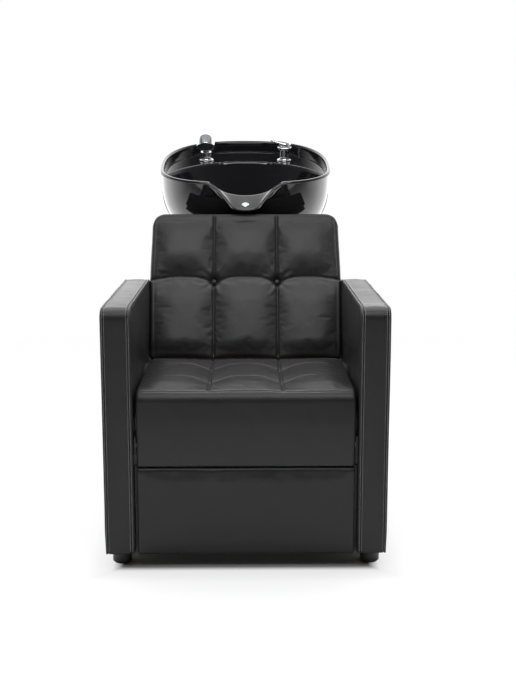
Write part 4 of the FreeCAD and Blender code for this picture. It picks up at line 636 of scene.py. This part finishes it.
def make_back():
    """The back's cover: six crowned pads between sewn lines, of which the one across is lowest at the buttons
    and bows up between them, then blown up as cloth."""
    half = (back_high.x - back_low.x) / 2 - 0.001
    crest = BACK_LENGTH + 0.004
    loop, normal = rounded_loop([(0, BACK_THICK), (crest, BACK_THICK), (crest, 0), (0, 0)],
                                (0.012, 0.014, 0.003, 0.003), (100, 8, 24, 8), bend=9)
    grid = sweep_across(about_channel(half - 0.019, 0.0065, 0.0026), half, loop, normal, 0.013, 8)
    x, v = grid[..., 0].copy(), grid[..., 1].copy()
    wide = np.abs(x)
    beside = np.abs(wide - CHANNEL)
    round_shoulders(grid, half, 0.036, 0.0345, 0.27, crest)
    front = np.clip(normal[:, 1], 0, 1)[None] ** 2 * (grid[..., 2] > 0.04)
    top = crest - (crest - grid[..., 1]) * (v > 0.4)
    line = BACK_ROW + 0.013 * (1 - bump_at(wide, CHANNEL, 0.036)) - 0.009 * smooth_step(wide, 0.19, 0.26)
    along = np.minimum(np.abs(v - line), np.minimum(v + 0.02, top - v + 0.004))
    crown = 0.0095 * smooth_step(np.minimum(beside, half - wide), -0.004, 0.070) * smooth_step(along, -0.006, 0.075)
    sewn_depth = 0.0060 * bump_at(wide, CHANNEL, 0.0026) + 0.0046 * bump_at(v, line, 0.0026)
    valley = 0.0014 * bump_at(wide, CHANNEL, 0.014) + 0.0020 * bump_at(v, line, 0.016)
    pull = np.zeros_like(x)
    for spot in (-CHANNEL, CHANNEL):
        away = np.hypot(x - spot, v - BACK_ROW)
        angle = np.arctan2(v - BACK_ROW, wide - CHANNEL)
        pull += 0.0110 * np.exp(-((away / 0.0125) ** 2)) + 0.0034 * np.exp(-away / 0.034)
        fold = np.cos(angle * 8) + 0.6 * np.cos(angle * 13 + spot * 40)
        pull += 0.0007 * fold * np.exp(-((away - 0.030) / 0.018) ** 2)
    bottom = 0.004 * (1 - smooth_step(v, 0.0, 0.05))
    edge_seam = 0.0016 * (bump_at(top - v, 0.0125, 0.0016) + bump_at(half - wide, 0.0125, 0.0016))
    uneven = 0.0009 * waves(grid, 0.16, 31) + 0.00025 * waves(grid, 0.05, 32)
    grid[..., 0] += np.sign(x) * 0.0050 * bump_at(v, 0.19, 0.17) * smooth_step(wide, half - 0.05, half - 0.01)
    grid[..., 2] += front * (crown - sewn_depth - valley - pull - bottom - edge_seam + uneven)
    # The ridges beside the channels are marked lighter: partly worn leather, partly a painted highlight.
    cushion = upholster("back_padding", lean(grid), 0.4 * bump_at(beside, 0.010, 0.004) * front)
    free = (front > 0.3) & (beside > 0.004) & (np.abs(v - line) > 0.004)
    free &= (half - wide > 0.014) & (top - v > 0.014) & (v > 0.02)
    for spot in (-CHANNEL, CHANNEL):
        free &= np.hypot(x - spot, v - BACK_ROW) > 0.014
    swell(cushion, ~free.ravel(), 0.9, 0.004, 0.003)
    soften(cushion)
    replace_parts(cushion, "back_cushion")


def spun(outline, steps):
    """An outline of (radius, height) carried round its axis."""
    angle = np.linspace(0, 2 * math.pi, steps, endpoint=False)
    radius, height = np.array(outline).T[..., None]
    return np.stack([radius * np.cos(angle), radius * np.sin(angle), np.repeat(height, steps, 1)], axis=-1)


def turned(name, outline, place, material, body, steps=72, hollow=False):
    """A turned piece. Place puts its points, which are drawn about its own axis."""
    return skin(name, place(spun(outline, steps)), material, body, hollow=hollow)


def eased(t, a, corner, b):
    """A curve from a to b that starts and ends towards a corner: (1 - t)^2 a + 2 t (1 - t) corner + t^2 b."""
    return (1 - t) ** 2 * a + 2 * t * (1 - t) * corner + t ** 2 * b


def filleted(corners, radii, bend=5):
    """An open outline in which each inner corner is eased over the length of its radius on either side. Each
    straight run has a point near both its ends to keep it flat."""
    corners = np.array(corners, float)
    curves = [corners[:1]]
    t = np.linspace(0, 1, bend)[:, None]
    for before, corner, after, radius in zip(corners, corners[1:], corners[2:], radii):
        a, b = (corner + way * min(0.48, radius / np.linalg.norm(way)) for way in (before - corner, after - corner))
        curves.append(eased(t, a, corner, b))
    curves.append(corners[-1:])
    near_ends = np.array([[0.04], [0.96]])
    runs = [before[-1] + (after[0] - before[-1]) * near_ends for before, after in zip(curves, curves[1:])]
    return np.concatenate([part for pair in zip(curves, runs) for part in pair] + [curves[-1]])


def make_button(name, side):
    """A covered button: a shallow dome with a rolled edge."""
    outline = filleted([(0.0005, 0.0520), (0.0086, 0.0535), (0.0090, 0.0560), (0.0062, 0.0600), (0.0003, 0.0612)],
                       (0.001, 0.0015, 0.003))
    place = lambda points: lean(points + [side * CHANNEL, BACK_ROW, 0.0])
    cover = turned(f"back_button_cover_{name}", outline, place, black_leatherette, "chair", 40)
    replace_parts(cover, f"back_button_{name}")


def make_rear_cover():
    """A thin pad behind the board, carried across as the back is, with a sewn groove near its edge."""
    low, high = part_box("back_rear_cover")
    half, foot, crest = (high.x - low.x) / 2 - 0.0005, 0.118, BACK_LENGTH - 0.004
    loop, normal = rounded_loop([(foot, -0.0200), (crest, -0.0200), (crest, -0.0152), (foot, -0.0152)],
                                (0.002, 0.002, 0.001, 0.001), (60, 2, 24, 2), bend=5)
    inner = spaced([0.0, half - 0.016, half - 0.004], (0.009, 0.002))
    grid = sweep_across(inner, half, loop, normal, 0.003)
    x, v = grid[..., 0].copy(), grid[..., 1].copy()
    round_shoulders(grid, half, 0.032, 0.0315, 0.30, crest)
    rear = np.clip(-normal[:, 1], 0, 1)[None] ** 2 * (grid[..., 2] < -0.018)
    from_edge = np.minimum(np.minimum(crest - v, v - foot), half - np.abs(x))
    grid[..., 2] -= rear * (0.0030 * smooth_step(from_edge, 0.012, 0.07) - 0.0012 * bump_at(from_edge, 0.010, 0.0016)
                            + 0.0006 * waves(grid, 0.12, 41))
    cover = upholster("back_rear_padding", lean(grid))
    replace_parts(cover, "back_rear_cover")


make_back()
make_rear_cover()
for button_name, button_side in (("left", -1), ("right", 1)):
    make_button(button_name, button_side)


# ---- Basin ----
# A deep ceramic bowl, slip-cast in one piece and glazed gloss black. It has a rolled rim and a flat deck
# for the taps behind the bowl. In front the rim sinks into a notch, which runs forward as a neck lip.
TILT = math.radians(14)
RIM_DEPTH, RIM_HEIGHT = 0.28178, 0.9458
OUTSIDE, INSIDE = 0.2205, 0.200  # depths below the rim at which the outside and the bowl close
FOOT = 0.210  # depth of the flat underside
WALL = 0.013
NOTCH = 0.56  # half the angle at the rim's middle in which the notch lies


def turned_about_x(points, angle):
    """Points turned about the X axis."""
    x, y, z = np.moveaxis(points, -1, 0)
    return np.stack([x, math.cos(angle) * y - math.sin(angle) * z, math.sin(angle) * y + math.cos(angle) * z], axis=-1)


def on_basin(points):
    """Points of the basin's own upright space, tilted towards the chair and put on its mount."""
    return turned_about_x(points, TILT) + [0.0, RIM_DEPTH, RIM_HEIGHT]


def basin_outline(angle):
    """The rim's plan: |x / a|^n + |y / b|^n = 1, where a = 257 mm. In front b = 202 mm and n = 2.9, and
    behind b = 295 mm and n = 2.45."""
    across, along = np.cos(angle), np.sin(angle)
    power = np.where(along > 0, 2.45, 2.9)
    reach = (np.abs(across) ** power + np.abs(along) ** power) ** (-1 / power)
    return np.stack([0.257 * across * reach, np.where(along > 0, 0.295, 0.202) * along * reach], axis=-1)


def blend_over(a, b, soft):
    """The larger of two heights, with the crease between them eased over a length."""
    share = np.clip(0.5 + 0.5 * (a - b) / soft, 0, 1)
    return b + (a - b) * share + soft * share * (1 - share)


def evened(numbers, reach=7):
    """Numbers round a closed line, each averaged with its neighbours under a bell-shaped weight."""
    weight = np.hanning(reach + 2)[1:-1]
    wrapped = np.concatenate([numbers[-reach:], numbers, numbers[:reach]])
    return np.convolve(wrapped, weight / weight.sum(), "same")[reach:-reach]


# Across the notch from its middle to its shoulder, in mm: where the crest between bowl and lip lies and how
# deep it is, and where the lip's edge lies, how far forward it is and how deep.
CREST_PLACE = (0, 16.4, 32.7, 45.8, 56.7, 67.6, 78.5, 93.7, 109)
CREST_DEPTH = (40, 39.3, 37.2, 34.5, 31.3, 27.2, 20, 8, 0)
EDGE_PLACE = (0, 14, 28, 38, 45, 51, 62, 84, 109)
EDGE_REACH = (73, 72, 68, 61, 51, 40, 28, 11, 0)
EDGE_DEPTH = (40, 40, 39.5, 38.5, 37, 34, 25, 10, 0)


def make_basin():
    """One closed skin. Each of its columns runs up the outside, under and round the lip or over the rim,
    and down the bowl, whose outline at a depth d is (1 - (d / 200 mm)^3)^(1/3) of the rim's."""
    close = np.linspace(-math.pi / 2 - NOTCH, -math.pi / 2 + NOTCH, 200, endpoint=False)
    wide = np.linspace(-math.pi / 2 + NOTCH, math.pi * 1.5 - NOTCH, 260, endpoint=False)
    rim = basin_outline(np.concatenate([close, wide]))
    normal = outward(rim)
    place = np.where(rim[:, 1] < 0, np.abs(rim[:, 0]), 1.0) * 1000

    def across(table):
        return evened(np.interp(place, CREST_PLACE, table)) / 1000

    sunk, forward, edge_sunk = across(CREST_DEPTH), across(EDGE_REACH), across(EDGE_DEPTH)
    beside = across(np.array(EDGE_PLACE) - CREST_PLACE) * np.sign(rim[:, 0])
    lip = smooth_step(forward, 0.0, 0.022)

    def outside(depth):
        return rim * np.cbrt(1 - (depth / OUTSIDE) ** 3)[..., None]

    def inside(depth):
        return (rim - normal * WALL) * np.cbrt(1 - (np.minimum(depth, 0.1999) / INSIDE) ** 3)[..., None]

    edge = outside(sunk) + np.stack([beside, -forward], axis=-1)
    facing = outward(edge)
    wall = (outside(sunk) - inside(sunk)) / 2
    half_wall = np.linalg.norm(wall, axis=1)
    radius = half_wall * (1 - lip) + 0.0045 * lip
    edge_top = -edge_sunk - forward * math.tan(math.radians(12))
    hem = sunk + 0.0165 + 0.006 * lip

    foot_share = np.array([0.02, 0.35, 0.65, 0.86, 0.95, 0.985])
    foot = rim[None] * (np.cbrt(1 - (FOOT / OUTSIDE) ** 3) * foot_share)[:, None, None]
    foot_z = np.full(foot.shape[:2], -FOOT)
    depths = 0.208 + (hem - 0.208) * (np.arange(46) / 45)[:, None] ** 0.9
    flank, flank_z = np.stack([outside(row) for row in depths]), -depths
    flank[0] *= 0.995

    turn = np.linspace(0, 1, 10)[:, None]
    start = -math.pi / 2 * lip
    angle = start + (math.radians(76) + math.radians(14) * lip - start) * turn
    nose = edge - facing * radius[:, None] + facing * (radius * np.cos(angle))[..., None]
    nose_z = edge_top - radius + radius * np.sin(angle)

    share = np.linspace(0, 1, 11)[1:-1, None]
    under = eased(share[..., None], flank[-1], outside(sunk + 0.010), nose[0])
    under_z = eased(share, flank_z[-1], -sunk - 0.009 - 0.002 * lip, nose_z[0])

    start = math.radians(104) - math.radians(14) * lip
    angle = start + (math.pi - start) * turn
    crest = outside(sunk) - wall + normal * (half_wall * np.cos(angle))[..., None]
    crest_z = -sunk - half_wall + half_wall * np.sin(angle)
    share = np.linspace(0, 1, 16)[1:-1, None]
    saddle = nose[-1] + (crest[0] - nose[-1]) * share[..., None]
    saddle_z = nose_z[-1] + (crest_z[0] - nose_z[-1]) * share

    start = np.arcsin(np.clip((sunk + half_wall) / INSIDE, 0, 1) ** 1.5)
    depths = INSIDE * np.sin(start + (math.pi / 2 - start) * np.linspace(0.008, 1, 130)[:, None]) ** (2 / 3)
    bowl = np.stack([inside(row) for row in depths])
    bowl_z = -np.minimum(depths, 0.196 + (depths - 0.196) * 0.1)
    bowl[-1] *= 0.2
    arc = 0.171 - (0.262 - np.sqrt(np.maximum(0.262 ** 2 - bowl[..., 0] ** 2, 0.0)))
    deck = DECK - np.maximum(0, arc - bowl[..., 1]) * 2.257
    bowl_z = np.where(bowl[..., 1] > -0.05, blend_over(deck, bowl_z, 0.010), bowl_z)

    plan = np.concatenate([foot, flank, under, nose, saddle, crest[:-1], bowl])
    height = np.concatenate([foot_z, flank_z, under_z, nose_z, saddle_z, crest_z[:-1], bowl_z])
    shell = skin("basin_shell", on_basin(np.concatenate([plan, height[..., None]], axis=-1)), black_glaze,
                 "basin_unit")
    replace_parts(shell, "basin")


def glaze():
    """Black ceramic glaze: near-mirror gloss with the faint unevenness of a fired surface."""
    material, place = blank_material("black_glaze")
    slow = place.noise(14.0)
    peel = place.noise(220.0, 1.0).bump(0.03, 0.0005, slow.bump(0.12, 0.004))
    return coated(material, (0.006, 0.006, 0.007, 1), slow.span(0.3, 0.7, 0.04, 0.09), peel, Coat_Weight=0.6,
                  Coat_Roughness=0.03)


TAP_ACROSS, TAP_ALONG, DECK = 0.125, 0.192, -0.038  # where the tap holes and their deck lie from the rim
black_glaze = glaze()
make_basin()


# ---- Taps ----
# Brass castings, turned, polished and chromed. They stand in two holes of the deck, and each is pulled down
# by a nut under it. The hand shower drops into the collar, and its hose nut hangs below.
def chromed():
    """Polished chrome with faint wipe marks and water spots."""
    material, place = blank_material("chrome")
    wiped = place.noise(45.0, 3.0)
    spots = place.node("TexVoronoi", {"Vector": place, "Scale": 260.0}, output="Distance").span(0.06, 0.12, 1.0, 0.0)
    return coated(material, wiped.tint((0.80, 0.81, 0.83), (0.90, 0.91, 0.93)),
                  wiped.span(0.35, 0.7, 0.05, 0.14) + spots * 0.10, wiped.bump(0.05, 0.001), Metallic=1.0)


CUP_RISE = 0.0343  # the mixer's cap sits this far above the deck
HEAD_TURN = math.radians(139)
chrome = chromed()


def at_tap(side, rise=0.0):
    """A place function: points about one tap's axis, put on the deck and tilted with the basin."""
    return lambda points: on_basin(points * 0.001 + [side * TAP_ACROSS, TAP_ALONG, DECK + rise])


def at_head(points):
    """Points about the shower head's own axis, which looks down into the bowl and forward."""
    return on_basin(turned_about_x(points * 0.001, HEAD_TURN) + [-TAP_ACROSS, 0.170, 0.025])


def make_handle():
    """The mixer's handle, one casting: ellipses along X that swell to a ball over the cap and then thin out to
    a flat paddle. Its tables give the half width, the top and the underside at each place."""
    along = np.array([20.4, 20.0, 18.6, 15.5, 11, 5, -2, -9, -15, -21, -28, -36, -42, -45, -46.2, -46.5])
    half = np.array([0.4, 4.2, 8.5, 13, 16.8, 19.6, 20.3, 18.6, 16.2, 14.2, 13.0, 12.2, 10.6, 8.0, 4.6, 0.4])
    above = np.array([16.4, 18.4, 20.8, 23.2, 25.2, 26.8, 28, 28.9, 29.5, 30.2, 31.0, 31.8, 32, 31.6, 30.8, 29.8])
    below = np.array([15.6, 13.2, 11.0, 9.4, 8.4, 7.9, 8.0, 10, 14.4, 18.6, 22.0, 24.8, 26.6, 27.8, 28.8, 29.4])
    fine = np.linspace(0, len(along) - 1, 61)
    along, half, above, below = (np.interp(fine, np.arange(len(along)), table)[:, None]
                                 for table in (along, half, above, below))
    angle = np.linspace(0, 2 * math.pi, 48, endpoint=False)
    across = np.sign(np.cos(angle)) * np.abs(np.cos(angle)) ** 0.8
    up = np.sign(np.sin(angle)) * np.abs(np.sin(angle)) ** 0.9
    grid = np.stack([np.repeat(along, 48, 1), half * across, (above + below) / 2 + (above - below) / 2 * up], axis=-1)
    handle = skin("mixer_handle", at_tap(1, CUP_RISE)(grid), chrome, "lever")
    soften(handle)
    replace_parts(handle, "mixer_lever")


column = filleted([(0.5, -26.0), (10.0, -26.0), (10.0, -0.1), (24.5, 0.0), (24.5, 2.8), (19.0, 5.6), (16.5, 13.0),
                   (16.5, 34.0), (0.5, 34.0)], (0.8, 0.3, 0.9, 1.1, 2.5, 4.0, 0.8))
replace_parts(turned("mixer_column", column, at_tap(1), chrome, "basin_unit"), "mixer_body")
cup = filleted([(0.5, 0.0), (19.6, 0.0), (22.0, 2.6), (22.0, 7.3), (21.2, 7.3), (21.0, 3.2), (0.5, 2.6)],
               (1.0, 1.4, 0.4, 0.3, 1.5))
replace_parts(turned("mixer_cup", cup, at_tap(1, CUP_RISE), chrome, "mixer_top"), "mixer_cap")
make_handle()
holder = filleted([(12.6, -25.8), (12.8, -26.0), (16.0, -26.0), (16.0, -0.1), (24.5, 0.0), (24.5, 2.8), (19.6, 6.0),
                   (17.0, 14.5), (17.0, 27.0), (12.6, 27.0), (12.6, -25.6)],
                  (0.1, 0.8, 0.3, 0.9, 1.1, 2.5, 4.0, 0.9, 0.7))
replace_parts(turned("shower_holder", holder, at_tap(-1), chrome, "basin_unit", hollow=True), "shower_collar")
grip = filleted([(0.5, -105.0), (9.2, -105.0), (11.5, -93.5), (11.5, 30.0), (11.2, 58.0), (8.0, 64.6), (0.5, 65.7)],
                (1.0, 4.0, 4.0, 6.0, 3.0))
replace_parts(turned("shower_grip", grip, at_tap(-1), chrome, "hand_shower", 48), "handset_grip")
bell = filleted([(0.5, -20.0), (21.0, -19.4), (27.2, -13.0), (28.5, -2.0), (28.5, 15.6), (27.7, 17.0), (25.7, 17.0),
                 (25.5, 12.7), (0.5, 12.6)], (5.0, 6.0, 7.0, 0.8, 0.6, 0.4, 0.3))
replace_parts(turned("shower_bell", bell, at_head, chrome, "hand_shower"), "shower_head")


# ---- Spray face ----
# A disc of dark grey plastic pressed into the shower head, with four rings of soft nozzles.
def moulded(name, dark, light, rough, grain=900.0, depth=0.12):
    """Moulded plastic or rubber: an even fine grain, with the gloss a little uneven where hands have been."""
    material, place = blank_material(name)
    cloudy = place.noise(18.0, 3.0)
    return coated(material, cloudy.tint((dark,) * 3, (light,) * 3), cloudy.span(0.3, 0.7, rough - 0.05, rough + 0.06),
                  place.noise(grain).bump(depth, 0.0003))


spray_plastic = moulded("spray_plastic", 0.055, 0.09, 0.45)
face = filleted([(0.5, 13.0), (25.2, 13.0), (25.35, 15.6), (24.4, 16.2), (0.5, 16.9)], (0.2, 0.4, 1.0))
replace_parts(turned("spray_disc", face, at_head, spray_plastic, "hand_shower"), "spray_face")
nozzle = spun(np.array([(1.25, 0.0), (1.2, 0.9), (0.95, 1.5), (0.35, 1.6)]) * 0.001, 8)
nozzle_places = np.concatenate([spun([(radius, 16.2)], count)[0]
                                for radius, count in ((4.5, 5), (10.0, 12), (15.5, 18), (21.0, 24))])
head_axes = at_head(np.eye(3) * 1000) - at_head(np.zeros(3))
repeated("spray_nozzles", nozzle, at_head(nozzle_places), np.repeat(head_axes[None], len(nozzle_places), 0),
         spray_plastic, "hand_shower")


# ---- Small fittings of the basin and taps ----
# Chromed brass where it shows: the neck's washer and screw, the strainer and the hose nut. Zinc-plated steel
# nuts, a moulded waste with its rubber ring, and rubber pads that carry the basin.
def dress(material, *nodes):
    """Give CAD nodes that stay as they are this material."""
    for node in nodes:
        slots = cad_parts[node].data.materials
        if not slots:
            slots.append(material)
        for number in range(len(slots)):
            slots[number] = material


def plated():
    """Zinc-plated steel: fine drawn lines, a dull uneven gloss and darker patches."""
    material, place = blank_material("zinc_plated_steel")
    lines, patches = place.stretched(40.0, 900.0, 900.0).noise(1.0), place.noise(55.0, 3.0)
    return coated(material, patches.tint((0.42, 0.42, 0.43), (0.66, 0.66, 0.67)),
                  lines.span(0.3, 0.7, 0.26, 0.40) + patches * 0.08, lines.bump(0.10, 0.0003), Metallic=1.0)


zinc = plated()
rubber = moulded("rubber", 0.018, 0.036, 0.68, 500.0, 0.25)
black_plastic = moulded("black_plastic", 0.014, 0.026, 0.36)
dress(chrome, "neck_washer", "neck_screw", "waste_strainer", "hose_nut")
dress(zinc, "neck_nut", "mixer_nut", "collar_nut", "lever_pin")
dress(black_plastic, "waste_tail", "waste_nut")
dress(rubber, "waste_gasket", "cradle_pads", "friction_washers")


# ---- Steel frame ----
# Square tube, flat strip and cut plate, welded and powder coated black, with zinc-plated bolts. The frame
# carries the boards, the basin's cradle and its two pivots.
def powder_coat():
    """Black powder coat: a low orange peel in a satin film, slightly thin and lighter in patches."""
    material, place = blank_material("black_powder_coat")
    patches = place.noise(9.0, 4.0)
    return coated(material, patches.tint((0.016, 0.016, 0.018), (0.034, 0.034, 0.037)),
                  patches.span(0.3, 0.7, 0.38, 0.50), place.noise(420.0, 1.0).bump(0.18, 0.0004))


def both(*names):
    """The left and right nodes of each name."""
    return [f"{name}_{side}" for name in names for side in ("left", "right")]


dress(powder_coat(), "cross_rail_front", "cross_rail_rear",
      *both("side_rail", "back_bracket", "floor_strip", "tilt_cheek", "cradle"))
dress(zinc, "frame_bolts", "access_screws", "pivot_bolts", "pivot_nuts", "stop_rods")


# ---- Boards, cabinet and feet ----
# Plywood cores inside the padding, and a cabinet of painted board round the pipes. Boards that show in a gap
# are black too, a painted shadow that keeps those gaps dark. Four round plastic feet are screwed up under the arms.
def plywood():
    """Birch plywood: long pale grain, with thin darker plies where noise is stretched along X."""
    material, place = blank_material("birch_plywood")
    grain = place.stretched(6.0, 90.0, 14.0).noise(1.0, 5.0, 0.6)
    pores = place.stretched(60.0, 900.0, 140.0).noise(1.0)
    return coated(material, (grain * 0.8 + pores * 0.2).tint((0.42, 0.29, 0.17), (0.70, 0.56, 0.39)),
                  pores.span(0.3, 0.7, 0.58, 0.72), pores.bump(0.2, 0.0004))


def painted_board():
    """Black satin paint rolled on board: a soft roller stipple with a few long strokes in the gloss."""
    material, place = blank_material("black_board")
    stipple, strokes = place.noise(240.0), place.stretched(20.0, 20.0, 2.0).noise(1.0, 3.0)
    return coated(material, strokes.tint((0.018, 0.018, 0.019), (0.036, 0.036, 0.038)),
                  strokes.span(0.3, 0.7, 0.40, 0.52) + stipple * 0.05, stipple.bump(0.15, 0.0004))


dress(plywood(), "seat_board", *both("arm_core"))
# On the seat's front board, the panel's board and the back board this black is a painted shadow for the gaps.
dress(painted_board(), "cabinet_front_panel", "access_panel", "panel_cleats", "seat_front_board",
      "front_panel_board", "back_board", *both("cabinet_side", "cabinet_top"))
dress(black_plastic, "arm_feet")
